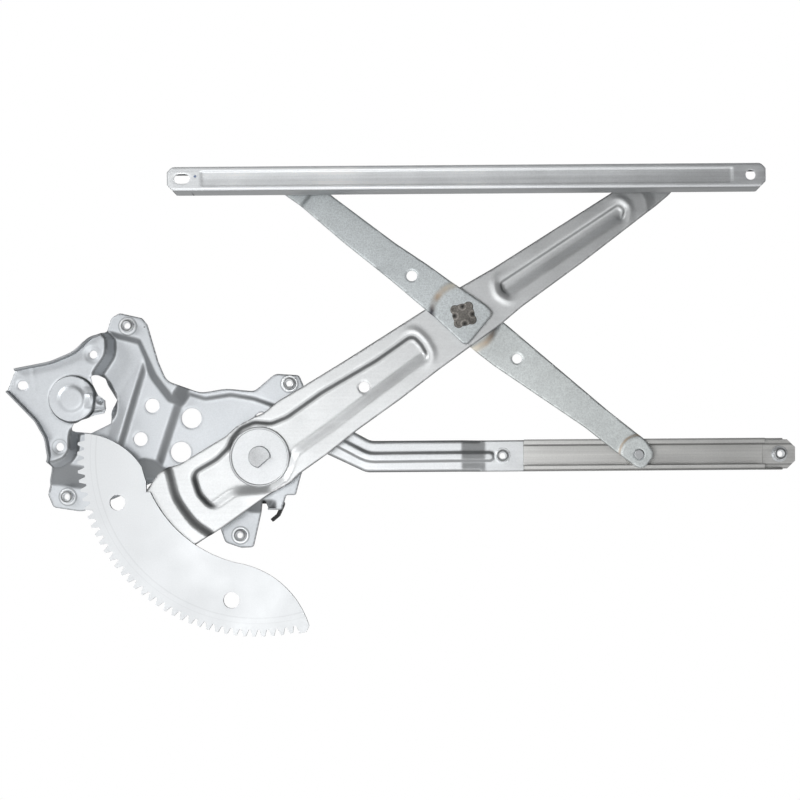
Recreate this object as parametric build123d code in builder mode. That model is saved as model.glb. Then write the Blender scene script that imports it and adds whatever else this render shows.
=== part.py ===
from build123d import *
import os
from math import asin, atan2, cos, degrees, radians, sin, sqrt, tan

# Scissor window regulator, front door, without its motor. Millimetres.
# The origin is on the main pivot's axis, in the plane of the door's inner
# panel. X runs along the rails, Z is up, and the side that faces the glass
# looks along -Y. "Depth" below is the distance from the panel towards -Y.
os.makedirs("parts", exist_ok=True)

# Sheet gauges
plate_sheet = 2.0
arm_sheet = 2.6
gear_sheet = 2.8
rail_sheet = 1.6

# Linkage: lengths between pivots, and the raised pose
crank = 212.0
lower_link = 191.5
main_reach = 200.8
raised_angle = 34.15

# Depths of the back faces of the sheets, from the door panel
floor_depth = 11.0
hub_depth = 18.0
arm_recess = 5.0
flange_step = 5.4
motor_pad_depth = 35.0
link_gap = 1.6

# Steps of the base plate's floor, going from the hub to the motor
hub_step = 4.5
motor_step = 3.5
top_rim_rise = 4.5
side_rim_rise = 3.0

# Running clearances
fit = 0.05
roller_play = 1.0
thrust_gap = 0.15

# Gear sector: full-depth teeth of this module on this pitch circle
gear_module = 2.5
pinion_teeth = 10
gear_teeth = 120
tooth_count = 36
first_tooth = 175.5
pressure_angle = 20.0

# Threaded inserts and bolts, M6
nut_bore = 2.6
nut_body = 5.5
nut_collar = 7.1
nut_height = 4.8
bolt_clearance = 3.3

main_sweep = radians(raised_angle)
centre = (crank * cos(main_sweep), crank * sin(main_sweep))
link_sweep = asin(centre[1] / lower_link)
upper_link = lower_link * main_reach / crank
main_length = crank + main_reach
rail_height = main_length * sin(main_sweep)
main_roller_at = (main_length * cos(main_sweep), rail_height)
link_roller_at = (centre[0] - upper_link * cos(link_sweep), rail_height)
rail_roller_at = (centre[0] + lower_link * cos(link_sweep), 0.0)

rim_depth = hub_depth + arm_recess
arm_front = rim_depth + arm_sheet
flange_depth = rim_depth + flange_step
gear_depth = flange_depth + arm_sheet
gear_front = gear_depth + gear_sheet
middle_floor_depth = floor_depth + hub_step
motor_floor_depth = middle_floor_depth + motor_step
top_rim_depth = motor_floor_depth + top_rim_rise
side_rim_depth = floor_depth + side_rim_rise


def at(depth):
    """Plane parallel to the door panel, seen from the glass side."""
    return Plane.XZ.offset(depth)


def along(depth, angle, spot=(0.0, 0.0)):
    """The same plane with its x axis turned by an angle about a spot."""
    turn = radians(angle)
    return Plane(origin=(spot[0], -depth, spot[1]), x_dir=(cos(turn), 0, sin(turn)), z_dir=(0, -1, 0))


def inset_for(sheet, lean):
    """How far the back of a raised form sits inside its front."""
    return sheet * (1 - sin(radians(lean))) / cos(radians(lean))


def raised(plane, corners, height, lean, inset=0.0, corner=0.0):
    """Block under a flat raised form: its walls lean out by an angle."""
    with BuildPart() as made:
        with BuildSketch(plane) as face:
            with BuildLine():
                Polyline(*corners, close=True)
            make_face()
            if corner:
                fillet(face.vertices(), corner)
            if inset:
                offset(amount=-inset, kind=Kind.INTERSECTION)
        extrude(amount=-height, taper=-lean)
    return made.part


def save(piece, name):
    piece.part.label = name
    export_step(piece.part, f"parts/{name}.step")


# Base plate: levels stamped in one sheet, from the door panel to the motor pad
plate_outline = [
    (-211.2, 55.3), (-203.1, 75.5), (-173.0, 81.0), (-152.9, 89.3), (-140.0, 102.0),
    (-129.4, 106.0), (-125.2, 119.4), (-117.9, 123.6), (-99.0, 119.2), (-94.5, 113.6),
    (-85.3, 81.6), (-78.5, 65.5), (-51.1, 55.8), (-29.2, 59.3), (-5.0, 56.8),
    (13.1, 71.8), (33.5, 70.4), (37.2, 62.0), (46.0, 40.0), (44.0, 8.0),
    (34.3, -15.5), (29.6, -32.8), (21.4, -32.8), (17.5, -45.5), (5.5, -45.5),
    (3.2, -37.5), (0.6, -37.5), (-8.8, -78.0), (-19.6, -78.4), (-33.4, -73.6),
    (-38.0, -60.0), (-60.0, -40.0), (-93.0, -19.5), (-157.9, -46.0),
    (-183.0, -42.0), (-187.5, -31.2), (-184.4, -18.0), (-175.3, 0.0), (-177.7, 16.3),
    (-186.0, 30.8),
]
outline_radii = [
    3, 2, 40, 30, 12, 4, 3, 4, 3, 4, 20, 12, 18, 30, 8, 8, 3, 3, 12, 20, 8, 2, 1.5, 2, 2,
    1, 1, 3, 8, 5, 12, 12, 12, 14, 4, 3, 14, 12, 20, 12,
]
floor_corners = [
    (-230, -11), (-178, -11), (-150, -15.5), (-122, -11.0), (-100, -5), (-77, -9.6), (-45, -24),
    (-8, -36), (2, -37), (2, -70), (80, -70), (80, 140), (-230, 140),
]
middle_floor_corners = [
    (-230, -8), (-178, -8), (-150, -12.5), (-122, -7), (-104, -1.5), (-91.8, -7.5),
    (-71, 54.8), (-46.1, 130), (-230, 130),
]
motor_floor_corners = [
    (-230, -4), (-178, -4), (-150, -8.5), (-126.5, -6), (-101.8, 75.3), (-83.7, 135), (-230, 135),
]
top_rim_corners = [
    (-130.5, 109.2), (-100.5, 101.3), (-87.1, 71.3), (-81.0, 63.0), (-74.0, 54.0),
    (-58.0, 78.0), (-70.0, 140.0), (-150.0, 140.0), (-136.0, 112.0),
]
side_rim_corners = [
    (-80, 62), (-47.3, 52.1), (-25.7, 55.4), (-5.1, 51.8), (9.5, 46.6), (60, 28),
    (80, 140), (-80, 140),
]
motor_pad_corners = [
    (-139, 116), (-128.6, 101), (-128.4, 93), (-129.2, 87.4), (-133.5, 80), (-138.5, 71),
    (-130.0, 61), (-125.5, 50), (-125.6, 43), (-126.5, 38.5), (-130.5, 32.5),
    (-147, 25), (-157, 24),
    (-158.4, 15), (-158.6, 7), (-163.5, -0.6),
    (-172, -4), (-240, -4), (-240, 116),
]
floor_lean = 50.0
band_lean = 55.0
rim_lean = 42.0
pad_lean = 12.0
dome_lean = 35.0
pinion_radius = gear_module * pinion_teeth / 2
gear_pitch_radius = gear_module * gear_teeth / 2
pinion_bearing = 162.3
pinion_distance = gear_pitch_radius + pinion_radius
dome_at = (pinion_distance * cos(radians(pinion_bearing)), pinion_distance * sin(radians(pinion_bearing)))
dome_radius = 19.5
dome_rise = 5.0
boss_radius = 11.5
boss_rise = 1.5
tongue_length = 27.5
tongue_width = 9.0
tongue_rise = 2.5


def plate_die(sheet):
    """Everything behind one face of the plate: the front one for no sheet,
    and the back one, lowered and drawn in, for the sheet's thickness."""
    forms = [
        (floor_corners, floor_depth, floor_depth, floor_lean, 0),
        (middle_floor_corners, middle_floor_depth, hub_step, band_lean, 0),
        (motor_floor_corners, motor_floor_depth, motor_step, band_lean, 0),
        (top_rim_corners, top_rim_depth, top_rim_depth - floor_depth, rim_lean, 0),
        (side_rim_corners, side_rim_depth, side_rim_rise, rim_lean, 0),
        (motor_pad_corners, motor_pad_depth, motor_pad_depth - floor_depth, pad_lean, 0),
    ]
    with BuildPart() as die:
        with BuildSketch(at(plate_sheet - sheet)):
            with Locations((-80, 20)):
                Rectangle(400, 300)
        extrude(amount=-30)
        for corners, depth, height, lean, corner in forms:
            level = at(depth + plate_sheet - sheet)
            add(raised(level, corners, height, lean, inset_for(sheet, lean), corner))
        dome_inset = inset_for(sheet, dome_lean)
        pad_front = motor_pad_depth + plate_sheet - sheet
        with BuildSketch(at(pad_front)):
            with Locations(dome_at):
                Circle(dome_radius - dome_inset)
        extrude(amount=dome_rise, taper=dome_lean)
        with BuildSketch(at(pad_front)):
            with Locations((dome_at[0] + tongue_length / 2, dome_at[1] - 1.2)):
                Rectangle(tongue_length, tongue_width - 2 * dome_inset)
        extrude(amount=tongue_rise, taper=dome_lean)
        with BuildSketch(at(pad_front + dome_rise)):
            with Locations(dome_at):
                Circle(boss_radius - dome_inset)
        extrude(amount=boss_rise, taper=dome_lean)
    return die.part


hub_bush_radius = 9.5
sight_hole = (0.3, 33.9)
floor_holes = [((-92.6, 45.0), 6.2), ((-102.8, 16.3), 6.0), ((-59.7, 34.3), 8.7), ((-69.2, 5.1), 8.9)]
motor_screws = [(-137.7, 87.2), (-166.5, 9.4)]
motor_screw_radius = 3.5
tip_slot = (-197.3, 61.5)
base_nuts = [
    ((-111.0, 112.3), top_rim_depth), ((25.5, 63.0), side_rim_depth),
    ((-170.2, -32.8), 0.0), ((-20.0, -67.5), 0.0),
]
pinion_window = [
    (-140.2, 68.5), (-136.5, 70.8), (-131.5, 68.0), (-121.8, 49.7), (-127.5, 29.5), (-144.2, 21.5),
    (-157.6, 22.6), (-155.0, 28.5), (-137.0, 36.0), (-129.0, 37.5), (-127.2, 42.0), (-127.2, 48.0),
    (-134.0, 53.0), (-138.3, 61.0),
]
edge_flange = 6.0
upper_flange_run = [(-203.1, 75.5), (-173.0, 81.0), (-152.9, 89.3), (-140.0, 102.0)]
lower_flange_run = [(-211.2, 55.3), (-186.0, 30.8), (-177.7, 16.3), (-175.3, 0.0)]
tab_fold = 9.5
tab_centre = 9.2
tab_width = 7.4

plate_front_die = plate_die(0.0)
plate_back_die = plate_die(plate_sheet)

with BuildPart() as base_plate:
    add(plate_front_die)
    add(plate_back_die, mode=Mode.SUBTRACT)
    for run in (upper_flange_run, lower_flange_run):
        with BuildSketch(at(motor_pad_depth)):
            with BuildLine():
                FilletPolyline(*run, radius=10)
            trace(line_width=2 * plate_sheet)
        extrude(amount=plate_sheet + edge_flange)
    with BuildSketch(at(floor_depth - tab_fold)):
        with Locations((tab_centre, -45.5 + plate_sheet / 2)):
            Rectangle(tab_width, plate_sheet)
    extrude(amount=tab_fold + plate_sheet)
    with BuildSketch(at(-5)):
        with BuildLine():
            FilletPolyline(*plate_outline, radius=outline_radii, close=True)
        make_face()
    extrude(amount=60, mode=Mode.INTERSECT)
    with BuildSketch(at(-5)):
        with BuildLine():
            FilletPolyline(*pinion_window, radius=1.0, close=True)
        make_face()
        Circle(hub_bush_radius)
        with Locations(sight_hole):
            Circle(5.0)
        for spot, radius in floor_holes:
            with Locations(spot):
                Circle(radius)
        with Locations(*motor_screws):
            Circle(motor_screw_radius)
        with Locations(tip_slot):
            SlotOverall(9.2, 7.4)
        with Locations(*[spot for spot, _ in base_nuts]):
            Circle(bolt_clearance)
    extrude(amount=60, mode=Mode.SUBTRACT)
save(base_plate, "base_plate")


def weld_nut(spot, seat):
    """Round insert with a thin collar, seated on the sheet at a depth."""
    with BuildPart() as nut:
        with BuildSketch(at(seat)):
            with Locations(spot):
                Circle(nut_collar)
        extrude(amount=0.8)
        with BuildSketch(at(seat)):
            with Locations(spot):
                Circle(nut_body)
        extrude(amount=nut_height)
        with BuildSketch(at(seat)):
            with Locations(spot):
                Circle(nut_bore)
        extrude(amount=nut_height, mode=Mode.SUBTRACT)
        rim = nut.edges().filter_by(GeomType.CIRCLE).group_by(Axis.Y)[0]
        chamfer(rim, 0.7)
    return nut.part


with BuildPart() as base_weld_nuts:
    for spot, depth in base_nuts:
        add(weld_nut(spot, depth + plate_sheet))
save(base_weld_nuts, "base_weld_nuts")

# Strap from the base plate to the lower rail, with a pressed groove
strap_half = 13.6
strap_step_at = (173.5, 193.4)
strap_pad_end = 243.0
strap_depth = floor_depth - plate_sheet
strap_groove = 2.5
groove_half = 3.3
strap_nut = (208.6, 0.0)
strap_edge = 3.0
groove_run = [(44.0, 24.5), (92.0, -1.0), (strap_step_at[1] + 3.5, -0.5)]
strap_lean = degrees(atan2(strap_step_at[1] - strap_step_at[0], strap_depth))


def strap_die(sheet, extra=0.0):
    """Everything behind one face of the strap: raised run, step and pad."""
    with BuildPart() as die:
        with BuildSketch(at(plate_sheet - sheet)):
            with Locations((130, 10)):
                Rectangle(300, 120)
        extrude(amount=-30)
        inset = inset_for(sheet, strap_lean) + extra * 0.2
        corners = [(-20, -60), (strap_step_at[0], -60), (strap_step_at[0], 80), (-20, 80)]
        level = at(strap_depth + plate_sheet - sheet - extra)
        add(raised(level, corners, strap_depth - extra, strap_lean, inset))
    return die.part


def groove_tool(sheet):
    """Space that the bent groove takes out of one die."""
    half = groove_half + inset_for(sheet, 35)
    with BuildPart() as tool:
        with BuildSketch(at(strap_depth + plate_sheet)):
            with BuildLine():
                FilletPolyline(*groove_run, radius=24)
            trace(line_width=2 * half)
        extrude(amount=-strap_depth)
        add(strap_die(sheet, strap_groove), mode=Mode.SUBTRACT)
        with BuildSketch(at(plate_sheet - sheet)):
            with Locations((130, 10)):
                Rectangle(300, 120)
        extrude(amount=-30, mode=Mode.SUBTRACT)
    return tool.part


strap_front_die = strap_die(0.0) - groove_tool(0.0)
strap_back_die = strap_die(plate_sheet) - groove_tool(plate_sheet)
strap_outline = [
    (30.0, 52.0), (44.0, 43.0), (82.1, 20.4), (94.5, strap_half), (strap_pad_end, strap_half),
    (strap_pad_end, -strap_half), (90.5, -strap_half), (57.5, 2.0), (18.0, 20.0), (14.0, 32.0),
]

with BuildPart() as rail_strap:
    add(strap_front_die)
    add(strap_back_die, mode=Mode.SUBTRACT)
    for side in (-1, 1):
        with BuildSketch(at(strap_depth - strap_edge)):
            with Locations(((100 + strap_step_at[0]) / 2, side * (strap_half - plate_sheet / 2))):
                Rectangle(strap_step_at[0] - 100, plate_sheet)
        extrude(amount=strap_edge + plate_sheet / 2)
    with BuildSketch(at(-5)) as strap_face:
        with BuildLine():
            FilletPolyline(*strap_outline, radius=[3, 12, 12, 14, 2, 2, 14, 14, 4, 4], close=True)
        make_face()
    extrude(amount=60, mode=Mode.INTERSECT)
    with BuildSketch(at(-5)):
        with Locations(strap_nut):
            Circle(bolt_clearance)
    extrude(amount=60, mode=Mode.SUBTRACT)
save(rail_strap, "rail_strap")

# Lower rail: a channel whose lips face the glass, with a pad at its far end
rail_half = 13.7
rail_start = 227.0
rail_lip_end = 435.0
rail_flange_end = 452.0
rail_tip = 464.0
rail_depth = 13.0
rail_lip = 5.0
rail_nut = (450.1, 0.0)
web_lift = plate_sheet
pad_edge_at = 432.0

with BuildPart() as lower_rail:
    with BuildSketch(Plane.YZ.offset(rail_start)):
        with Locations((-rail_depth / 2, 0)):
            Rectangle(rail_depth, 2 * rail_half)
        with Locations((-(rail_depth + web_lift) / 2 + 0.0, 0)):
            Rectangle(
                rail_depth - web_lift - 2 * rail_sheet, 2 * (rail_half - rail_sheet), mode=Mode.SUBTRACT
            )
        with Locations((-rail_depth, 0)):
            Rectangle(2 * rail_sheet + 0.2, 2 * (rail_half - rail_lip), mode=Mode.SUBTRACT)
    extrude(amount=rail_flange_end - rail_start)
    with BuildSketch(at(0)):
        with BuildLine():
            Polyline(
                (pad_edge_at, -rail_half + 1), (rail_tip - 7, -rail_half + 1), (rail_tip, -6),
                (rail_tip, 6), (rail_tip - 7, rail_half - 1), (pad_edge_at, rail_half - 1), close=True
            )
        make_face()
    extrude(amount=rail_sheet)
    with BuildSketch(at(rail_sheet)):
        with Locations(((rail_lip_end + rail_tip) / 2 + 10, 0)):
            Rectangle(rail_tip - rail_lip_end + 20, 2 * (rail_half - rail_sheet))
    extrude(amount=rail_depth, mode=Mode.SUBTRACT)
    with BuildSketch(at(6.0)):
        with Locations((rail_lip_end + 20, 0)):
            Rectangle(40, 2 * rail_half + 2)
    extrude(amount=rail_depth, mode=Mode.SUBTRACT)
    with BuildSketch(at(-1)):
        with Locations(((rail_start + pad_edge_at) / 2, 0)):
            Rectangle(pad_edge_at - rail_start, 2 * rail_half + 2)
    extrude(amount=1 + web_lift, mode=Mode.SUBTRACT)
    with BuildSketch(at(-1)):
        with Locations(rail_nut):
            Circle(bolt_clearance)
    extrude(amount=4, mode=Mode.SUBTRACT)
save(lower_rail, "lower_rail")

with BuildPart() as rail_weld_nuts:
    add(weld_nut(strap_nut, plate_sheet))
    add(weld_nut(rail_nut, rail_sheet))
save(rail_weld_nuts, "rail_weld_nuts")

# Main pivot: bush in the plate, shaft fixed in the arm, ring behind
shaft_radius = 8.0
collar_radius = 12.0
flange_radius = 14.0
bush_flange = 1.0
shank_radius = 9.35
shank_flat = 6.4
disc_radius = 26.0
disc_sheet = 2.0
disc_rim = 0.6
shaft_tail = 10.0
slot_width = 3.3
ring_sheet = 0.9
head_height = 1.4

with BuildPart() as pivot_bush:
    with BuildSketch(at(floor_depth)):
        Circle(hub_bush_radius)
    extrude(amount=plate_sheet)
    with BuildSketch(at(floor_depth + plate_sheet)):
        Circle(flange_radius)
    extrude(amount=bush_flange)
    with BuildSketch(at(floor_depth)):
        Circle(shaft_radius + fit)
    extrude(amount=plate_sheet + bush_flange, mode=Mode.SUBTRACT)
save(pivot_bush, "pivot_bush")

collar_depth = floor_depth + plate_sheet + bush_flange + thrust_gap
disc_depth = hub_depth + arm_sheet
head_depth = disc_depth + disc_sheet


def shank_face(grow=0.0):
    """Round shank with one flat, at the current sketch plane."""
    Circle(shank_radius + grow)
    with Locations((shank_flat + grow + 10, 0)):
        Rectangle(20, 40, mode=Mode.SUBTRACT)


with BuildPart() as pivot_shaft:
    with BuildSketch(at(floor_depth - shaft_tail)):
        Circle(shaft_radius)
    extrude(amount=collar_depth - floor_depth + shaft_tail)
    with BuildSketch(at(collar_depth)):
        Circle(collar_radius)
    extrude(amount=hub_depth - collar_depth)
    with BuildSketch(along(hub_depth, -50)):
        shank_face()
    extrude(amount=head_depth - hub_depth)
    with BuildSketch(along(head_depth, -50)):
        shank_face()
    extrude(amount=head_height, taper=25)
    with BuildSketch(at(floor_depth - shaft_tail)):
        Rectangle(2 * shaft_radius + 2, slot_width)
    extrude(amount=shaft_tail - 1.9, mode=Mode.SUBTRACT)
save(pivot_shaft, "pivot_shaft")

with BuildPart() as pivot_retainer:
    with BuildSketch(at(floor_depth - thrust_gap - ring_sheet)):
        Circle(collar_radius)
        Circle(shaft_radius, mode=Mode.SUBTRACT)
    extrude(amount=ring_sheet)
save(pivot_retainer, "pivot_retainer")

with BuildPart() as pivot_disc:
    with BuildSketch(at(disc_depth)):
        Circle(disc_radius)
    extrude(amount=disc_sheet)
    with BuildSketch(at(disc_depth + disc_sheet - disc_rim)):
        Circle(disc_radius - 2.2)
    extrude(amount=disc_rim, taper=-30, mode=Mode.SUBTRACT)
    with BuildSketch(along(disc_depth, -50)):
        shank_face()
    extrude(amount=disc_sheet, mode=Mode.SUBTRACT)
    outer = pivot_disc.edges().filter_by(GeomType.CIRCLE).filter_by(lambda e: e.radius > disc_radius - 0.1)
    chamfer(outer.sort_by(Axis.Y)[0], 0.5)
save(pivot_disc, "pivot_disc")

# Assist spring: flat strip wound in half turns, hooked on the plate's tab
strip = 3.0
strip_height = 6.0
spring_depth = 1.2
spring_inner = 10.2
spring_pitch = 5.8
half_turns = 9
leg_height = -38.6
leg_end = [(18.6, leg_height), (13.5, -50.0), (7.9, -54.6)]

with BuildPart() as assist_spring:
    with BuildSketch(at(spring_depth)):
        with BuildLine():
            Line((-shaft_radius + 1, 0), (spring_inner, 0))
            for turn in range(half_turns):
                side = 1 if turn % 2 == 0 else -1
                start = side * (spring_inner + turn * spring_pitch / 2)
                end = -side * (spring_inner + (turn + 1) * spring_pitch / 2)
                ThreePointArc((start, 0), ((start + end) / 2, side * abs(start - end) / 2), (end, 0))
            reach = -leg_height + end
            fall = -leg_height * sqrt(0.5)
            ThreePointArc((end, 0), (reach - fall, -fall), (reach, leg_height))
            FilletPolyline((reach, leg_height), *leg_end, radius=2.0)
        trace(line_width=strip)
    extrude(amount=strip_height)
save(assist_spring, "assist_spring")

# Main arm: a deep channel, a flange for the gear, and a stepped tip
arm_outline = [
    (-112.0, 24.0), (-78.0, 35.9), (-68.8, 36.5), (-58.8, 33.1), (-13.1, 30.6), (-1.5, 32.2),
    (15.1, 30.4), (25.0, 28.6), (40.7, 30.1), (64.4, 28.3), (108.0, 26.0), (crank + 11.6, 21.8),
    (crank + 45.0, 19.1), (main_length - 41.0, 14.9), (main_length + 14.0, 14.0),
    (main_length + 14.0, -13.0), (main_length - 12.0, -15.6), (main_length - 90.5, -19.9),
    (crank + 45.9, -21.7), (crank + 22.9, -24.0), (crank - 42.9, -25.8), (127.1, -28.0),
    (79.8, -28.9), (49.4, -31.1), (20.4, -31.5), (8.7, -33.5), (-8.7, -31.4), (-60.0, -32.0),
    (-86.4, -31.5), (-112.0, -24.0),
]
arm_radii = [
    8, 3, 5, 12, 8, 10, 10, 12, 20, 60, 80, 40, 40, 60, 13, 12.5,
    20, 60, 40, 40, 80, 80, 60, 40, 14, 14, 14, 30, 3, 8,
]
channel_corners = [
    (-56.0, 22.3), (-31.3, 20.4), (-18.2, 22.7), (-9.7, 28.3), (1.1, 30.8), (13.9, 28.3),
    (25.6, 18.7), (39.4, 15.8), (74.9, 16.4), (crank - 82.7, 12.4), (crank - 44.0, 12.8), (crank - 42.0, 0.0),
    (crank - 43.3, -12.8), (104.1, -14.9), (66.4, -16.9), (28.0, -17.2), (19.5, -24.2), (9.0, -30.0),
    (-9.0, -30.0), (-19.0, -24.7), (-34.4, -15.8), (-59.3, -15.7), (-62.0, 3.0),
]
short_channel_corners = [
    (crank + 41.5, 6.5), (main_length - 37.4, 4.3), (main_length - 34.8, -3.2),
    (main_length - 42.0, -9.6), (crank + 41.8, -8.2), (crank + 38.5, -1.0),
]
flange_corners = [
    (-72.2, 50.0), (-72.2, 33.9), (-80.8, 10.9), (-80.3, -15.2), (-72.1, -36.3), (-72.1, -50.0),
    (-160.0, -50.0), (-160.0, 50.0),
]
tip_fold = main_length - 20.8
tip_corners = [(tip_fold, -40.0), (tip_fold, 40.0), (tip_fold + 80, 40.0), (tip_fold + 80, -40.0)]
short_recess = 3.0
tip_step = 2.0
channel_lean = 28.0
flange_lean = 45.0
tip_lean = 66.0
arm_hole = (107.7, -1.3)
arm_hole_radius = 4.7


def arm_die(sheet):
    """Everything behind one face of the main arm."""
    level = along(arm_front - sheet, raised_angle)
    with BuildPart() as die:
        with BuildSketch(level):
            with Locations((165, 0)):
                Rectangle(600, 120)
        extrude(amount=-30)
        for corners, drop, lean in (
            (channel_corners, arm_recess, channel_lean),
            (short_channel_corners, short_recess, channel_lean),
            (tip_corners, tip_step, tip_lean),
        ):
            add(raised(level, corners, drop, -lean, -inset_for(sheet, lean)), mode=Mode.SUBTRACT)
        top = along(flange_depth + arm_sheet - sheet, raised_angle)
        add(raised(top, flange_corners, flange_step, flange_lean, inset_for(sheet, flange_lean)))
    return die.part


pin_radius = 4.0
journal_radius = 8.0
neck_radius = 6.0

with BuildPart() as main_arm:
    add(arm_die(0.0))
    add(arm_die(arm_sheet), mode=Mode.SUBTRACT)
    with BuildSketch(along(0, raised_angle)):
        with BuildLine():
            FilletPolyline(*arm_outline, radius=arm_radii, close=True)
        make_face()
    extrude(amount=60, mode=Mode.INTERSECT)
    with BuildSketch(along(0, raised_angle)):
        with Locations(arm_hole):
            Circle(arm_hole_radius)
        with Locations((crank, 0)):
            Circle(journal_radius + fit)
        with Locations((main_length, 0)):
            Circle(pin_radius)
    extrude(amount=60, mode=Mode.SUBTRACT)
    with BuildSketch(along(0, -50)):
        shank_face()
    extrude(amount=60, mode=Mode.SUBTRACT)
save(main_arm, "main_arm")

# Gear sector: a flat plate with teeth on part of a circle
gear_tip_radius = gear_pitch_radius + gear_module
gear_root_radius = gear_pitch_radius - 1.25 * gear_module
tooth_step = 360 / gear_teeth
gear_start = first_tooth - tooth_step / 2
gear_end = gear_start + tooth_count * tooth_step
inner_arcs = [(-146.0, 20.6), (-118.0, 11.5), (-98.0, -8.1), (-73.4, -56.6), (-13.5, -90.9), (20.5, -108.5)]
heel = [(42.8, -143.8), (40.3, -148.8), (34.3, -150.2), (30.4, -147.2)]
gear_holes = [((-118.8, -38.2), 6.6), ((-22.8, -121.5), 6.9)]
gear_notch = ((-91.0, -25.0), (6.8, 8.9))


def on_circle(radius, angle):
    return (radius * cos(radians(angle)), radius * sin(radians(angle)))


def gap_half(radius):
    """Half width of a tooth gap, for straight flanks at the pressure angle."""
    return gear_module * pi_quarter + (radius - gear_pitch_radius) * tan(radians(pressure_angle))


pi_quarter = radians(45)

with BuildPart() as sector_gear:
    with BuildSketch(at(gear_depth)) as gear_face:
        with BuildLine():
            ThreePointArc(*inner_arcs[0:3])
            ThreePointArc(*inner_arcs[2:5])
            ThreePointArc(inner_arcs[4], inner_arcs[5], heel[0])
            Polyline(*heel, on_circle(gear_root_radius, gear_end + 0.2))
            Line(on_circle(gear_root_radius, gear_end + 0.2), on_circle(gear_tip_radius, gear_end))
            ThreePointArc(
                on_circle(gear_tip_radius, gear_end),
                on_circle(gear_tip_radius, (gear_start + gear_end) / 2),
                on_circle(gear_tip_radius, gear_start),
            )
            Polyline(
                on_circle(gear_tip_radius, gear_start), on_circle(gear_root_radius, gear_start),
                inner_arcs[0]
            )
        make_face()
        with BuildSketch(mode=Mode.PRIVATE) as gap:
            low = gear_root_radius
            high = gear_tip_radius + 1.0
            with BuildLine():
                Polyline(
                    (low, -gap_half(low)), (high, -gap_half(high)), (high, gap_half(high)),
                    (low, gap_half(low)), close=True
                )
            make_face()
        for number in range(tooth_count + 1):
            with Locations(Rotation(0, 0, gear_start + number * tooth_step)):
                add(gap.sketch, mode=Mode.SUBTRACT)
        for spot, radius in gear_holes:
            with Locations(spot):
                Circle(radius, mode=Mode.SUBTRACT)
        with Locations(gear_notch[0]):
            Rectangle(*gear_notch[1], mode=Mode.SUBTRACT)
    extrude(amount=gear_sheet)
save(sector_gear, "sector_gear")

# Equaliser: two halves, in front of the main arm and behind it
upper_depth = arm_front + link_gap
upper_pad_rise = 2.2
upper_tip_drop = 1.2
upper_pad_radius = 24.6
upper_pad_lean = 72.0
upper_angle = 180 - degrees(link_sweep)
lower_angle = -degrees(link_sweep)
upper_outline = [
    (-19.0, -17.2), (-9.2, -18.2), (17.9, -16.4), (49.9, -15.2), (84.4, -12.6),
    (upper_link - 32.7, -11.2), (upper_link + 13.0, -12.0), (upper_link + 13.0, 13.4),
    (upper_link - 13.1, 11.8), (upper_link - 62.0, 13.9), (67.0, 14.5),
    (19.1, 16.4), (-14.0, 19.5), (-18.0, 17.8),
]
upper_radii = [4, 8, 30, 40, 40, 40, 12, 12, 20, 40, 60, 40, 3, 3]
upper_hole = (55.3, 0.6)
upper_hole_radius = 4.6
upper_bend_height = rail_height - 12.6
lower_depth = 14.2
lower_pad_rise = 4.2
lower_pad_radius = 24.6
lower_pad_lean = 60.0
end_pad_rise = 1.5
end_pad_radius = 15.0
lower_outline = [
    (-17.0, 17.0), (31.1, 18.0), (lower_link - 42.8, 13.4), (lower_link - 3.8, 13.3),
    (lower_link + 10.9, 9.0), (lower_link + 10.9, -9.5), (lower_link - 6.5, -10.2),
    (lower_link - 50.6, -10.1), (46.5, -16.5), (-17.0, -16.7),
]
lower_radii = [10, 60, 60, 20, 7, 7, 20, 60, 60, 10]
lower_hole = (58.3, 0.5)
lower_hole_radius = 4.2


def cone(plane, radius, height, lean, inset):
    """Round raised form, wider at the back."""
    with BuildPart() as made:
        with BuildSketch(plane):
            Circle(radius - inset)
        extrude(amount=-height, taper=-lean)
    return made.part


def upper_die(sheet):
    with BuildPart() as die:
        with BuildSketch(along(upper_depth + arm_sheet - sheet, upper_angle, centre)):
            with Locations((90, 0)):
                Rectangle(300, 80)
        extrude(amount=-20)
        level = at(upper_depth + arm_sheet - sheet)
        corners = [(-200, upper_bend_height), (200, upper_bend_height), (200, 320), (-200, 320)]
        lean = 66.0
        add(raised(level, corners, upper_tip_drop, -lean, -inset_for(sheet, lean)), mode=Mode.SUBTRACT)
        pad = along(upper_depth + upper_pad_rise + arm_sheet - sheet, upper_angle, centre)
        inset = inset_for(sheet, upper_pad_lean)
        add(cone(pad, upper_pad_radius, upper_pad_rise, upper_pad_lean, inset))
    return die.part


with BuildPart() as upper_equaliser_arm:
    add(upper_die(0.0))
    add(upper_die(arm_sheet), mode=Mode.SUBTRACT)
    with BuildSketch(along(0, upper_angle, centre)):
        with BuildLine():
            FilletPolyline(*upper_outline, radius=upper_radii, close=True)
        make_face()
    extrude(amount=60, mode=Mode.INTERSECT)
    with BuildSketch(along(0, upper_angle, centre)):
        Circle(neck_radius)
        with Locations(upper_hole):
            Circle(upper_hole_radius)
        with Locations((upper_link, 0)):
            Circle(pin_radius)
    extrude(amount=60, mode=Mode.SUBTRACT)
save(upper_equaliser_arm, "upper_equaliser_arm")


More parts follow.
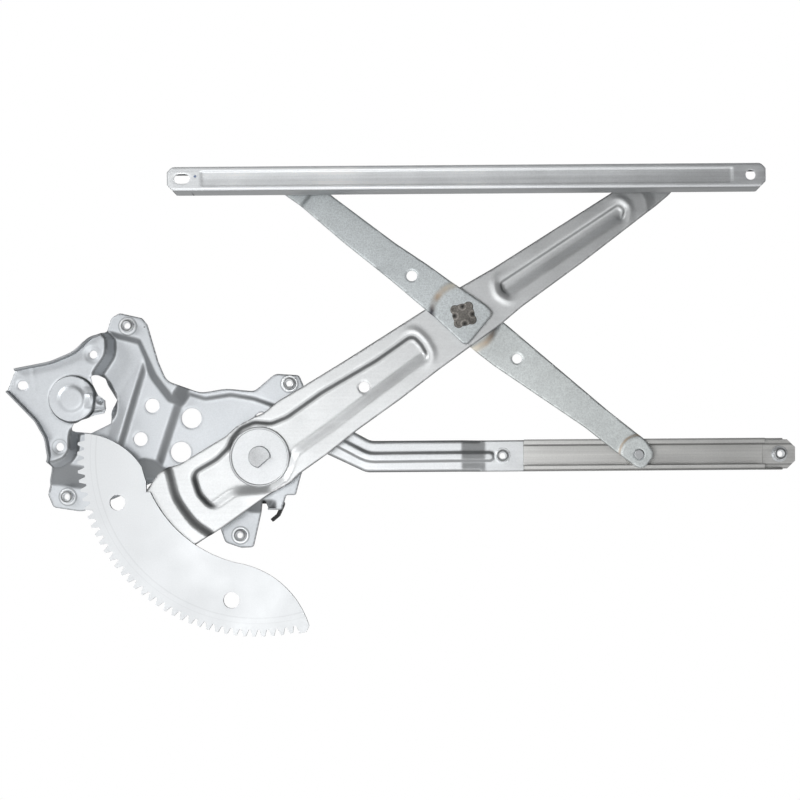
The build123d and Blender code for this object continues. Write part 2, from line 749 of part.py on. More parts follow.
def lower_die(sheet):
    with BuildPart() as die:
        with BuildSketch(along(lower_depth + arm_sheet - sheet, lower_angle, centre)):
            with Locations((90, 0)):
                Rectangle(300, 80)
        extrude(amount=-20)
        pad = along(lower_depth + lower_pad_rise + arm_sheet - sheet, lower_angle, centre)
        inset = inset_for(sheet, lower_pad_lean)
        add(cone(pad, lower_pad_radius, lower_pad_rise, lower_pad_lean, inset))
        end = along(lower_depth + end_pad_rise + arm_sheet - sheet, lower_angle, rail_roller_at)
        inset = inset_for(sheet, lower_pad_lean)
        add(cone(end, end_pad_radius, end_pad_rise, lower_pad_lean, inset))
    return die.part


with BuildPart() as lower_equaliser_arm:
    add(lower_die(0.0))
    add(lower_die(arm_sheet), mode=Mode.SUBTRACT)
    with BuildSketch(along(0, lower_angle, centre)):
        with BuildLine():
            FilletPolyline(*lower_outline, radius=lower_radii, close=True)
        make_face()
    extrude(amount=60, mode=Mode.INTERSECT)
    with BuildSketch(along(0, lower_angle, centre)):
        Circle(neck_radius)
        with Locations(lower_hole):
            Circle(lower_hole_radius)
        with Locations((lower_link, 0)):
            Circle(pin_radius)
    extrude(amount=60, mode=Mode.SUBTRACT)
save(lower_equaliser_arm, "lower_equaliser_arm")

# Centre pin: clamps both halves, turns in the main arm
lower_pad_back = lower_depth + lower_pad_rise
lower_pad_front = lower_pad_back + arm_sheet
upper_pad_back = upper_depth + upper_pad_rise
upper_pad_front = upper_pad_back + arm_sheet
stake_height = 0.8
dimple_radius = 2.1
dimple_circle = 8.0
washer_radius = 14.0

with BuildPart() as centre_pin:
    for low, high, radius in (
        (lower_pad_back - 1.5, lower_pad_back, 9.5),
        (lower_pad_back, lower_pad_front, neck_radius),
        (lower_pad_front, upper_pad_back, journal_radius),
        (upper_pad_back, upper_pad_front, neck_radius),
    ):
        with BuildSketch(along(low, upper_angle, centre)):
            Circle(radius)
        extrude(amount=high - low)
    with BuildSketch(along(upper_pad_front, upper_angle + 8, centre)):
        Circle(9.6)
        with PolarLocations(8.2, 4):
            Circle(4.2)
    extrude(amount=stake_height, taper=30)
    with BuildSketch(along(upper_pad_front + stake_height - 0.5, upper_angle + 8, centre)):
        with PolarLocations(dimple_circle, 4):
            Circle(dimple_radius)
    extrude(amount=1.0, mode=Mode.SUBTRACT)
save(centre_pin, "centre_pin")

with BuildPart() as centre_washers:
    for low, high in (
        (lower_pad_front, rim_depth - thrust_gap),
        (arm_front + thrust_gap, upper_pad_back),
    ):
        with BuildSketch(along(low, upper_angle, centre)):
            Circle(washer_radius)
            Circle(journal_radius, mode=Mode.SUBTRACT)
        extrude(amount=high - low)
save(centre_washers, "centre_washers")

# Rollers and their riveted pins
top_front = 50.0
top_depth = 15.0
top_half = 10.1
top_flare = 5.0
top_opening = 6.2
top_panel_drop = 0.8
roller_radius = 7.6
roller_back = 38.0
roller_front = 46.2
pin_neck = 4.8
pin_shoulder = 6.5
pin_head = 5.6
pin_front = 47.2


def roller_pin(spot, back, front):
    """Riveted behind the sheet, with a shoulder in front of it."""
    with BuildPart() as made:
        for low, high, radius in (
            (back - 1.4, back, pin_head),
            (back, front, pin_radius),
            (front, 34.0, pin_shoulder),
            (34.0, roller_back - thrust_gap, pin_neck),
            (roller_back - thrust_gap, roller_front + thrust_gap, pin_radius),
            (roller_front + thrust_gap, pin_front, pin_head),
        ):
            with BuildSketch(at(low)):
                with Locations(spot):
                    Circle(radius)
            extrude(amount=high - low)
    return made.part


def roller(spot, radius, back, front):
    """Plastic roller with bevelled edges on both faces."""
    with BuildPart() as made:
        with BuildSketch(at(back)):
            with Locations(spot):
                Circle(radius)
                Circle(pin_radius + fit, mode=Mode.SUBTRACT)
        extrude(amount=front - back)
        rims = made.edges().filter_by(GeomType.CIRCLE).filter_by(lambda e: e.radius > radius - 0.1)
        chamfer(rims, 0.9)
    return made.part


tip_back = rim_depth - tip_step
upper_tip_back = upper_depth - upper_tip_drop

with BuildPart() as main_roller_pin:
    add(roller_pin(main_roller_at, tip_back, tip_back + arm_sheet))
save(main_roller_pin, "main_roller_pin")

with BuildPart() as main_roller:
    add(roller(main_roller_at, roller_radius, roller_back, roller_front))
save(main_roller, "main_roller")

with BuildPart() as upper_roller_pin:
    add(roller_pin(link_roller_at, upper_tip_back, upper_tip_back + arm_sheet))
save(upper_roller_pin, "upper_roller_pin")

with BuildPart() as upper_roller:
    add(roller(link_roller_at, roller_radius, roller_back, roller_front))
save(upper_roller, "upper_roller")

low_roller_radius = 10.75
low_roller_back = 4.6
low_roller_front = 10.6
dome_head = 4.9
dome_head_rise = 2.1
low_neck = 7.0
lower_tip_back = lower_depth + end_pad_rise

with BuildPart() as lower_roller_pin:
    for low, high, radius in (
        (low_roller_back - 0.9, low_roller_back - thrust_gap, pin_head),
        (low_roller_back - thrust_gap, low_roller_front + thrust_gap, pin_radius),
        (low_roller_front + thrust_gap, lower_tip_back, low_neck),
        (lower_tip_back, lower_tip_back + arm_sheet, pin_radius),
    ):
        with BuildSketch(at(low)):
            with Locations(rail_roller_at):
                Circle(radius)
        extrude(amount=high - low)
    with BuildSketch(at(lower_tip_back + arm_sheet)):
        with Locations(rail_roller_at):
            Circle(dome_head)
    extrude(amount=dome_head_rise, taper=30)
save(lower_roller_pin, "lower_roller_pin")

with BuildPart() as lower_roller:
    add(roller(rail_roller_at, low_roller_radius, low_roller_back, low_roller_front))
save(lower_roller, "lower_roller")

# Top rail: a channel with its web to the glass and its lips behind
top_start = -71.3
top_end = 428.3
top_corner = 6.2
panel_start = -43.0
panel_end = 401.0
panel_half = 6.0
top_slot = (-59.0, 0.0)
top_hole = (415.8, 0.0)
top_hole_radius = 4.25


def flare(run):
    return run * tan(radians(top_flare))


with BuildPart() as top_rail:
    with BuildSketch(Plane.YZ.offset(top_start)):
        with BuildLine():
            wide = top_half + flare(top_depth)
            Polyline(
                (-top_front, rail_height - top_half), (-top_front, rail_height + top_half),
                (-top_front + top_depth, rail_height + wide),
                (-top_front + top_depth, rail_height - wide), close=True
            )
        make_face()
        with BuildLine():
            inner = top_half - rail_sheet + flare(rail_sheet)
            wide = top_half - rail_sheet + flare(top_depth - rail_sheet)
            Polyline(
                (-top_front + rail_sheet, rail_height - inner), (-top_front + rail_sheet, rail_height + inner),
                (-top_front + top_depth - rail_sheet, rail_height + wide),
                (-top_front + top_depth - rail_sheet, rail_height - wide), close=True
            )
        make_face(mode=Mode.SUBTRACT)
        with Locations((-top_front + top_depth, rail_height)):
            Rectangle(2 * rail_sheet + 0.4, 2 * top_opening, mode=Mode.SUBTRACT)
    extrude(amount=top_end - top_start)
    panel = ((panel_start + panel_end) / 2, rail_height)
    with BuildSketch(at(top_front - rail_sheet)):
        with Locations(panel):
            Rectangle(panel_end - panel_start, 2 * panel_half)
    extrude(amount=-top_panel_drop)
    with BuildSketch(at(top_front)) as panel_face:
        with Locations(panel):
            Rectangle(panel_end - panel_start, 2 * panel_half)
        fillet(panel_face.vertices(), 2.0)
    extrude(amount=-top_panel_drop, taper=50, mode=Mode.SUBTRACT)
    with BuildSketch(at(0)):
        with BuildLine():
            Polyline(
                (top_start, rail_height - 5.5), (top_start, rail_height + 5.5),
                (top_start + top_corner, rail_height + 12), (top_end - top_corner, rail_height + 12),
                (top_end, rail_height + 5.5), (top_end, rail_height - 5.5),
                (top_end - top_corner, rail_height - 12), (top_start + top_corner, rail_height - 12),
                close=True
            )
        make_face()
    extrude(amount=60, mode=Mode.INTERSECT)
    with BuildSketch(at(top_front + 1)):
        with Locations((top_slot[0], rail_height)):
            SlotOverall(13.2, 8.3)
        with Locations((top_hole[0], rail_height)):
            Circle(top_hole_radius)
    extrude(amount=-1 - rail_sheet, mode=Mode.SUBTRACT)
save(top_rail, "top_rail")
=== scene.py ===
# %% [markdown]
# # A scissor window regulator, dressed for a studio photograph
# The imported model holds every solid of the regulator: the stamped base plate,
# the two arms that cross like scissors, and the two guide rails. This lesson
# lights them, looks at them from the photographer's place, and gives each one
# its finish. Lengths are in metres and Z is up. The side that faces the glass
# looks along -Y.

from math import asin, cos, degrees, radians, sin, tan

import bmesh
import bpy
import numpy as np
from mathutils import Euler, Matrix, Vector


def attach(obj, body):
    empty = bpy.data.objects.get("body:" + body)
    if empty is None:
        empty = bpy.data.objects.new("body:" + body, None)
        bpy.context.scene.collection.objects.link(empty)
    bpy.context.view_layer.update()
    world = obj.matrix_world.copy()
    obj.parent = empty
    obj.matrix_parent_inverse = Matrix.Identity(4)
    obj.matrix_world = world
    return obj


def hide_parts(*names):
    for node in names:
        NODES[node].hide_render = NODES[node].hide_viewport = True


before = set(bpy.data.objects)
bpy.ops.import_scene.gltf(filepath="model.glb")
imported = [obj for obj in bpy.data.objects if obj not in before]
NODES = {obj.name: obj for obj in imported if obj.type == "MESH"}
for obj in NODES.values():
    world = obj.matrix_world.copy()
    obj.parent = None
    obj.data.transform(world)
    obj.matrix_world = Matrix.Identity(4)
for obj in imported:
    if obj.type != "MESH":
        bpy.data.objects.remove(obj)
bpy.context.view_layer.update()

# %% [markdown]
# ## The camera
# The photograph was taken square on, from about 1.12 m. The part hangs with
# its rails level, so the camera looks straight along +Y, turned by less than
# half a degree. A small lens shift puts the part where the picture has it,
# without tilting the camera, which would make the rails converge.

# %% Camera
MM = 0.001
CAMERA_PLACE = Vector((167.2 * MM, -1120.0 * MM, -33.8 * MM))
SENSOR = 36.0
LENS = 57.72
SHIFT = (-0.0688, 0.1188)
ROLL = radians(0.42)

camera_data = bpy.data.cameras.new("camera")
camera_data.sensor_width = SENSOR
camera_data.lens = LENS
camera_data.shift_x, camera_data.shift_y = SHIFT
camera_data.clip_end = 20.0
camera = bpy.data.objects.new("camera", camera_data)
camera.location = CAMERA_PLACE
camera.rotation_euler = Euler((radians(90), ROLL, 0))
bpy.context.scene.collection.objects.link(camera)
bpy.context.scene.camera = camera
print("view width at the door panel", SENSOR / LENS * -CAMERA_PLACE.y)

# %% [markdown]
# ## Studio
# A pale floor and a backdrop. The camera and reflections meet them as plain
# white, so that the steel mirrors the same background that the picture shows.
# All other light meets a pale grey surface.

# %% Floor, backdrop and world
scene = bpy.context.scene
scene.view_settings.view_transform = "Standard"


def pale_stage_material():
    """Diffuse pale grey for light, plain white for the camera and reflections."""
    material = bpy.data.materials.new("studio white")
    material.use_nodes = True
    tree = material.node_tree
    tree.nodes.clear()
    output = tree.nodes.new("ShaderNodeOutputMaterial")
    mix = tree.nodes.new("ShaderNodeMixShader")
    diffuse = tree.nodes.new("ShaderNodeBsdfDiffuse")
    glow = tree.nodes.new("ShaderNodeEmission")
    path = tree.nodes.new("ShaderNodeLightPath")
    first = tree.nodes.new("ShaderNodeMath")
    second = tree.nodes.new("ShaderNodeMath")
    diffuse.inputs["Color"].default_value = (0.8, 0.8, 0.8, 1)
    glow.inputs["Strength"].default_value = 1.0
    for node in (first, second):
        node.operation = "MAXIMUM"
    link = tree.links.new
    link(path.outputs["Is Camera Ray"], first.inputs[0])
    link(path.outputs["Is Glossy Ray"], first.inputs[1])
    link(first.outputs[0], second.inputs[0])
    link(path.outputs["Is Transmission Ray"], second.inputs[1])
    link(second.outputs[0], mix.inputs["Fac"])
    link(diffuse.outputs[0], mix.inputs[1])
    link(glow.outputs[0], mix.inputs[2])
    link(mix.outputs[0], output.inputs["Surface"])
    return material


def stage_plane(name, centre, size, turn):
    """A flat square of a given size, turned about X."""
    half = size / 2
    corners = [Vector((x, y, 0)) for x, y in ((-half, -half), (half, -half), (half, half), (-half, half))]
    spin = Matrix.Rotation(turn, 3, "X")
    mesh = bpy.data.meshes.new(name)
    mesh.from_pydata([spin @ c + Vector(centre) for c in corners], [], [(0, 1, 2, 3)])
    plane = bpy.data.objects.new(name, mesh)
    scene.collection.objects.link(plane)
    plane.data.materials.append(studio_white)
    print(name, "is", size, "m wide")


studio_white = pale_stage_material()
stage_plane("floor", (0.18, 1.0, -0.34), 8.0, 0.0)
stage_plane("backdrop", (0.18, 1.6, 3.0), 8.0, radians(90))

world = bpy.data.worlds.new("studio")
world.use_nodes = True
scene.world = world
tree = world.node_tree
background = tree.nodes["Background"]
background.inputs["Color"].default_value = (1, 1, 1, 1)
background.inputs["Strength"].default_value = 0.11

# %% [markdown]
# Two square soft boxes light the steel. The stronger one stands high on the
# left, so that a pressed wall that faces right or down falls into shade and
# shows its form. The weaker one is beside the camera and fills that shade.

# %% Soft boxes


def soft_box(name, place, aim, size, power):
    """A square area lamp that faces a point."""
    data = bpy.data.lights.new(name, "AREA")
    data.shape = "SQUARE"
    data.size = size
    data.energy = power
    lamp = bpy.data.objects.new(name, data)
    lamp.location = place
    lamp.rotation_euler = (Vector(aim) - Vector(place)).to_track_quat("-Z", "Y").to_euler()
    scene.collection.objects.link(lamp)
    print("soft box", name, power, "W")


AIM = (0.1, 0.0, 0.0)
soft_box("front", (-0.13, -1.40, -0.09), AIM, 0.45, 5.3)
soft_box("left", (-1.2, -0.8, 0.7), AIM, 0.5, 10)

# %% [markdown]
# ## Cut sheets
# Nearly everything here is sheet metal: a blank is cut, holes are punched, and
# a press pushes the flat sheet into levels joined by sloping walls, each bend
# with a soft radius. A solid made from blocks has knife edges there. So each
# pressing is made again as two surfaces a sheet's thickness apart. A grid of
# points covers the outline; those next to an edge or a hole move onto it, and a
# narrow wall closes the two faces there.

# %% Outlines and distances
ARC_SHARE = 0.48
NEARLY_STRAIGHT = radians(89)


def rounded_line(corners, radii, closed=True, step=radians(12)):
    """Line with arcs: each corner is cut by an arc that touches both of its sides.

    The arc's middle lies on the corner's halving line, the radius over the sine
    of half the angle away. An arc takes up less than half of either side.
    """
    corners = np.asarray(corners, float)
    radii = np.broadcast_to(np.asarray(radii, float), len(corners)).copy()
    if not closed:
        radii[[0, -1]] = 0
    before = np.roll(corners, 1, axis=0) - corners
    after = np.roll(corners, -1, axis=0) - corners
    pieces = []
    for corner, one, two, radius in zip(corners, before, after, radii):
        reach = min(np.linalg.norm(one), np.linalg.norm(two)) * ARC_SHARE
        one, two = one / np.linalg.norm(one), two / np.linalg.norm(two)
        half = np.arccos(np.clip(one @ two, -1, 1)) / 2
        if radius < 0.01 or half > NEARLY_STRAIGHT:
            pieces.append(corner[None])
            continue
        tangent = min(radius / tan(half), reach)
        radius = tangent * tan(half)
        middle = corner + (one + two) / np.linalg.norm(one + two) * radius / sin(half)
        start, end = corner + one * tangent - middle, corner + two * tangent - middle
        first = np.arctan2(start[1], start[0])
        turn = (np.arctan2(end[1], end[0]) - first + np.pi) % (2 * np.pi) - np.pi
        angles = first + turn * np.linspace(0, 1, max(2, int(abs(turn) / step) + 2))
        pieces.append(middle + radius * np.stack([np.cos(angles), np.sin(angles)], 1))
    return np.concatenate(pieces)


def circle_loop(spot, radius, wide=0.0, count=40):
    """Circle: radius times cosine and sine; a slot when its halves move apart by a width."""
    angles = np.linspace(0, 2 * np.pi, count, endpoint=False) + np.pi / count
    loop = radius * np.stack([np.cos(angles), np.sin(angles)], 1)
    return np.asarray(spot, float) + loop + np.sign(np.cos(angles))[:, None] * np.array([wide / 2, 0])


def edge_gap(points, loop):
    """Distance to a closed loop, positive inside, and the nearest point on it.

    For each side of the loop the nearest point is its start plus a share of its
    length, held between 0 and 1; a point is inside when a ray to the right of
    it crosses the loop an odd number of times.
    """
    best = np.full(len(points), np.inf)
    nearest = np.zeros_like(points)
    inside = np.zeros(len(points), bool)
    x, y = points.T
    for p, q in zip(loop, np.roll(loop, -1, axis=0)):
        side = q - p
        share = np.clip((points - p) @ side / max(side @ side, 1e-12), 0, 1)
        foot = p + share[:, None] * side
        gap = ((points - foot) ** 2).sum(1)
        closer = gap < best
        best[closer] = gap[closer]
        nearest[closer] = foot[closer]
        if p[1] != q[1]:
            spans = (p[1] > y) != (q[1] > y)
            inside ^= spans & (x < side[0] * (y - p[1]) / side[1] + p[0])
    return np.where(inside, 1, -1) * np.sqrt(best), nearest


def run_gap(points, run):
    """Distance to an open line of straight pieces."""
    best = np.full(len(points), np.inf)
    run = np.asarray(run, float)
    for p, q in zip(run[:-1], run[1:]):
        side = q - p
        share = np.clip((points - p) @ side / (side @ side), 0, 1)
        best = np.minimum(best, ((points - p - share[:, None] * side) ** 2).sum(1))
    return np.sqrt(best)


def inner(points, corners):
    """Distance to a polygon of straight sides, positive inside."""
    return edge_gap(points, np.asarray(corners, float))[0]


# %% [markdown]
# A die gives a sheet only a few kinds of form: a raised level, a pressed-in
# one and a soft ridge. Each is a formula of the distance to an outline. The
# whole field is then blurred by about the bend's radius, as a die's rounded
# edges would do.

# %% Forms of a pressing


def lift(height, gap, level, lean):
    """Raised form: its level inside, and outside a wall that leans by an angle."""
    return np.maximum(height, level - np.maximum(0, -gap) / tan(radians(lean)))


def sink(height, fall, level, drop):
    """Pressed-in form: the level less how far the wall has fallen, down to the drop."""
    return np.where(fall > 0, np.minimum(height, level - np.minimum(drop, fall)), height)


def bead(gap, at, wide, high):
    """Soft ridge that follows an outline: a bell curve of the distance to it."""
    return high * np.exp(-(((gap - at) / wide) ** 2))


def blurred(field, sigma):
    """Field averaged with a bell curve, its width in cells, along both axes."""
    reach = int(3 * sigma) + 1
    offsets = np.arange(-reach, reach + 1)
    bell = np.exp(-0.5 * (offsets / sigma) ** 2)
    bell /= bell.sum()
    for axis in (0, 1):
        pad = [(reach, reach) if a == axis else (0, 0) for a in (0, 1)]
        wide = np.pad(field, pad, mode="edge")
        cells = np.arange(field.shape[axis])
        field = sum(w * np.take(wide, cells + reach + o, axis=axis) for w, o in zip(bell, offsets))
    return field


def flat_grid(outline, pitch_u, pitch_v):
    """Regular grid of points over an outline, with a margin of three cells."""
    margin = 3 * np.array([pitch_u, pitch_v])
    low, high = outline.min(0) - margin, outline.max(0) + margin
    u, v = np.arange(low[0], high[0], pitch_u), np.arange(low[1], high[1], pitch_v)
    return np.stack(np.meshgrid(u, v, indexing="ij"), -1)


def pressed(outline, height_at, pitch, soft):
    """Grid over the outline and a function that reads the blurred height anywhere.

    The height between four grid points is their average, weighted by how near
    each one is.
    """
    grid = flat_grid(outline, pitch, pitch)
    field = blurred(height_at(grid.reshape(-1, 2)).reshape(grid.shape[:2]), soft / pitch)

    def height(points):
        """Weighted average of the four grid points round each point."""
        place = (points - grid[0, 0]) / pitch
        cell = np.clip(place.astype(int), 0, np.array(field.shape) - 2)
        (i, j), (a, b) = cell.T, (place - cell).T
        low = field[i, j] * (1 - a) + field[i + 1, j] * a
        high = field[i, j + 1] * (1 - a) + field[i + 1, j + 1] * a
        return low * (1 - b) + high * b

    return grid, height


# %% [markdown]
# The mesh is built from whole arrays. Two values stay with every point: its
# distance to the cut edge and how steep the sheet is there. The finish uses
# both later to paint shade into the colour at the cut edge and on the walls.

# %% From a cut grid to a closed mesh
SHARP_ANGLE = 38.0
EDGE_ZONE = 5.0
KEPT_SHARE = 0.45
# How steep a wall is for the full painted shade, and past which it gets less of it
STEEP_FULL, STEEP_BRIGHT, STEEP_SHINE = 1.2, 1.8, 0.8


def mesh_piece(name, vertices, face_arrays, edge, wall=None, sharp=SHARP_ANGLE):
    """Mesh object from whole arrays; unused points are dropped, sharp edges marked."""
    used = np.unique(np.concatenate([f.ravel() for f in face_arrays]))
    index = np.zeros(len(vertices), int)
    index[used] = np.arange(len(used))
    loops = np.concatenate([index[f].ravel() for f in face_arrays])
    sizes = np.concatenate([np.full(len(f), f.shape[1]) for f in face_arrays])
    mesh = bpy.data.meshes.new(name)
    mesh.vertices.add(len(used))
    mesh.vertices.foreach_set("co", vertices[used].astype(np.float32).ravel() * MM)
    mesh.loops.add(len(loops))
    mesh.loops.foreach_set("vertex_index", loops.astype(np.int32))
    mesh.polygons.add(len(sizes))
    mesh.polygons.foreach_set("loop_start", (np.cumsum(sizes) - sizes).astype(np.int32))
    mesh.polygons.foreach_set("use_smooth", np.ones(len(sizes), bool))
    mesh.update(calc_edges=True)
    # Kept so that the finish can paint shade at the cut edge and on the walls
    for kind, values in (("edge", edge), ("wall", np.zeros(len(vertices)) if wall is None else wall)):
        layer = mesh.attributes.new(kind, "FLOAT", "POINT")
        layer.data.foreach_set("value", values[used].astype(np.float32))
    mesh.validate()
    mesh.set_sharp_from_angle(angle=radians(sharp))
    piece = bpy.data.objects.new(name, mesh)
    bpy.context.scene.collection.objects.link(piece)
    print(name, "triangles", int((sizes - 2).sum()))
    return piece


def cut_sheet(name, grid, outline, holes, faces_at, sharp=SHARP_ANGLE):
    """Closed sheet: the grid cut to an outline with holes, then placed by a function.

    Points beside an edge move onto it. faces_at gives the front place, the back
    place and the steepness at each flat point. Each edge that only one face
    uses gets a wall from front to back.
    """
    shape = grid.shape[:2]
    points = grid.reshape(-1, 2)
    gap, nearest = edge_gap(points, outline)
    inward = np.clip(gap, 0, EDGE_ZONE)
    for hole in holes:
        hole_gap, hole_nearest = edge_gap(points, hole)
        use = -hole_gap < gap
        gap = np.where(use, -hole_gap, gap)
        nearest[use] = hole_nearest[use]
    cell = min(np.linalg.norm(grid[1, 0] - grid[0, 0]), np.linalg.norm(grid[0, 1] - grid[0, 0]))
    kept = (gap > -KEPT_SHARE * cell).reshape(shape)
    around = np.pad(~kept, 1, constant_values=True)
    rim = np.zeros(shape, bool)
    for i in range(3):
        for j in range(3):
            rim |= around[i:i + shape[0], j:j + shape[1]]
    rim = (kept & rim).ravel()
    flat = np.where(rim[:, None], nearest, points)
    front, back, steep = faces_at(flat, rim)
    number = np.arange(len(points)).reshape(shape)
    quads = [number[:-1, :-1], number[1:, :-1], number[1:, 1:], number[:-1, 1:]]
    quads = np.stack(quads, -1).reshape(-1, 4)
    count = kept.ravel()[quads].sum(1)
    full, partial = quads[count == 4], quads[count == 3]
    missing = np.argmin(kept.ravel()[partial], axis=1)
    three = np.take_along_axis(partial, (missing[:, None] + np.array([1, 2, 3])) % 4, axis=1)
    edges = [np.stack([f, np.roll(f, -1, axis=1)], -1).reshape(-1, 2) for f in (full, three)]
    edges = np.concatenate(edges)
    key = np.sort(edges, axis=1) @ np.array([len(points), 1])
    _, where, uses = np.unique(key, return_index=True, return_counts=True)
    a, b = edges[where[uses == 1]].T
    far = len(points)
    walls = np.stack([b, a, a + far, b + far], 1)
    return mesh_piece(
        name, np.concatenate([front, back]),
        [full, full[:, ::-1] + far, walls, three, three[:, ::-1] + far],
        edge=np.concatenate([inward, inward]), wall=np.concatenate([steep, steep]), sharp=sharp,
    )


def pressed_sheet(name, outline, holes, height_at, sheet, pitch, soft, turn=0.0, spot=(0, 0),
                  roll=0.45, lowest=-100.0):
    """Pressing with its own two axes, turned by an angle about a spot of the door's plane.

    Front: the blurred height. Back: the front less the sheet's thickness times
    the root of one plus the slope squared, so that a wall is as thick as a flat.
    The steepness kept for the finish, which paints shade on walls with it, is
    the slope, up to a limit; a nearly upright wall gets less of that painted
    shade again, since mostly the sloping walls look dark.
    """
    grid, height = pressed(outline, height_at, pitch, soft)
    along, across = np.array([0.5, 0]), np.array([0, 0.5])

    def faces_at(flat, rim):
        """Places of the front and the back, with the front's rim rolled down."""
        front = height(flat)
        slope_u = height(flat + along) - height(flat - along)
        slope_v = height(flat + across) - height(flat - across)
        back = np.maximum(front - sheet * np.sqrt(1 + slope_u**2 + slope_v**2), lowest)
        front = front - roll * rim
        a = radians(turn)
        x = spot[0] + flat[:, 0] * cos(a) - flat[:, 1] * sin(a)
        z = spot[1] + flat[:, 0] * sin(a) + flat[:, 1] * cos(a)
        # Steepness for the painted shade on walls; a nearly upright wall gets less
        steep = np.hypot(slope_u, slope_v)
        steep = np.minimum(steep, STEEP_FULL) - STEEP_SHINE * np.clip(steep - STEEP_BRIGHT, 0, 1)
        return np.stack([x, -front, z], 1), np.stack([x, -back, z], 1), steep

    return cut_sheet(name, grid, outline, holes, faces_at)


def swept_strip(name, path, low, high, half, rounding=0.7):
    """Upright strip along a path: a rounded rectangle across it, from low to high.

    Each point of the section is the path's point plus a share of its normal,
    at a depth between the two edges of the strip.
    """
    path = np.asarray(path, float)
    along = np.gradient(path, axis=0)
    normal = np.stack([-along[:, 1], along[:, 0]], 1) / np.linalg.norm(along, axis=1)[:, None]
    angles = np.radians([180, 150, 120, 90, 60, 30, 0])
    rounded = (half - rounding) * np.sign(np.cos(angles)) + rounding * np.cos(angles)
    side = np.concatenate([[-half], rounded, [half]])
    drop = np.concatenate([[0], rounding * (1 - np.sin(angles)), [0]])
    x = path[:, :1] + normal[:, :1] * side
    z = path[:, 1:] + normal[:, 1:] * side
    depth = np.asarray(high)[:, None] - drop
    depth[:, [0, -1]] = np.asarray(low)[:, None]
    vertices = np.stack([x, -depth, z], -1).reshape(-1, 3)
    n, m = x.shape
    number = np.arange(n * m).reshape(n, m)
    wrap = np.roll(number, -1, axis=1)
    quads = np.stack([number[:-1], number[1:], wrap[1:], wrap[:-1]], -1).reshape(-1, 4)
    # An edge value of one half makes the finish paint the whole strip darker, a painted shade
    return mesh_piece(name, vertices, [quads, number[:1, ::-1], number[-1:]], edge=np.full(n * m, 0.5))


def stands_for(piece, node, body, material):
    """The piece shows instead of a CAD node, moves with its body and has its slot."""
    piece.data.materials.append(material)
    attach(piece, body)
    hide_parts(node)


# %% [markdown]
# ## The base plate
# One deep-drawn pressing carries everything. Going from the pivot to the motor,
# its floor climbs in two bands; the pad for the motor stands much higher, with
# steep walls and a dome over the pinion. Depths are in millimetres from the
# door's inner panel towards the glass, and belong to the front of the sheet.

# %% Base plate: outline and levels
PLATE_SHEET = 2.0
FLOOR_LEAN, SLOPE_LEAN, BAND_LEAN, RIM_LEAN, PAD_LEAN = 50.0, 47.0, 55.0, 42.0, 9.0
RAMP_RISE, RAMP_LENGTH = 1.5, 14.0
SEAT_RADIUS, SEAT_WALL, SEAT_DROP = 7.4, 1.2, 0.8
CREASE_DEPTH, CREASE_HALF = 0.5, 1.0
FLOOR, MIDDLE_FLOOR, MOTOR_FLOOR, TOP_RIM, SIDE_RIM, MOTOR_PAD = 13.0, 17.5, 20.6, 25.5, 16.0, 37.0
plate_outline = rounded_line(
    [(-210.9, 55.3), (-202.9, 75.5), (-173.0, 81.0), (-152.9, 89.3), (-140.0, 102.0),
     (-129.4, 106.0), (-125.2, 119.4), (-117.9, 123.6), (-99.0, 119.2), (-94.5, 113.6),
     (-85.3, 81.6), (-78.5, 65.5), (-51.1, 55.8), (-29.2, 59.3), (-5.0, 56.8),
     (13.1, 71.8), (33.5, 70.4), (37.2, 62.0), (46.0, 40.0), (44.0, 8.0),
     (34.3, -15.5), (29.6, -32.8), (21.4, -32.8), (17.5, -45.5), (5.5, -45.5),
     (3.2, -37.5), (0.6, -37.5), (-8.8, -78.0), (-19.6, -78.4), (-33.4, -73.6),
     (-38.0, -60.0), (-60.0, -40.0), (-93.0, -19.5), (-157.9, -46.0),
     (-183.0, -42.0), (-187.5, -31.2), (-184.4, -18.0), (-175.3, 0.0), (-177.7, 16.3), (-186.0, 30.8)],
    [3, 2, 40, 30, 12, 4, 3, 4, 3, 4, 20, 12, 18, 30, 8, 8, 3, 3, 12, 20, 8, 2, 1.5, 2, 2,
     1, 1, 3, 8, 5, 12, 12, 12, 14, 4, 3, 14, 12, 20, 12],
)
whole_plate = [(-300, -90), (100, -90), (100, 150), (-300, 150)]
floor_line = [
    (-230, -11), (-178, -11), (-150, -15.5), (-122, -11), (-100, -5), (-77, -9.6), (-45, -24),
    (-8, -36), (12, -37), (12, -90), (80, -90), (80, 140), (-230, 140),
]
middle_floor_line = [(-230, -60), (-107.4, -60), (-91.8, -7.5), (-71, 54.8), (-46.1, 130), (-230, 130)]
motor_floor_line = [(-230, -60), (-143.1, -60), (-126.5, -6), (-101.8, 75.3), (-83.7, 135), (-230, 135)]
ramp_line = [(-103, 80), (-120, 54), (-124, 40), (-133, 8), (-145, -30), (-60, -30), (-60, 100)]
top_rim_line = [
    (-130.5, 109.2), (-100.5, 101.3), (-87.1, 71.3), (-81, 63), (-74, 54), (-58, 78), (-70, 140),
    (-150, 140), (-136, 112),
]
side_rim_line = [
    (-80, 62), (-47.3, 52.1), (-25.7, 55.4), (-5.1, 51.8), (9.5, 46.6), (60, 28), (80, 140), (-80, 140),
]
motor_pad_line = rounded_line(
    [(-139, 116), (-126.4, 101), (-126.2, 93), (-127.2, 87.4), (-132.0, 80), (-138.0, 71),
     (-130, 61), (-125.5, 50), (-125.6, 43), (-126.5, 38.5), (-130.5, 32.5), (-147, 25), (-157, 24),
     (-158.4, 15), (-158.6, 7), (-163.5, -0.6), (-172, -4), (-240, -4), (-240, 116)],
    [0, 3, 4, 5, 3, 2, 2, 2, 2, 2, 2, 2, 2, 5, 5, 4, 3, 0, 0],
)
DOME_AT = (-154.8, 49.4)
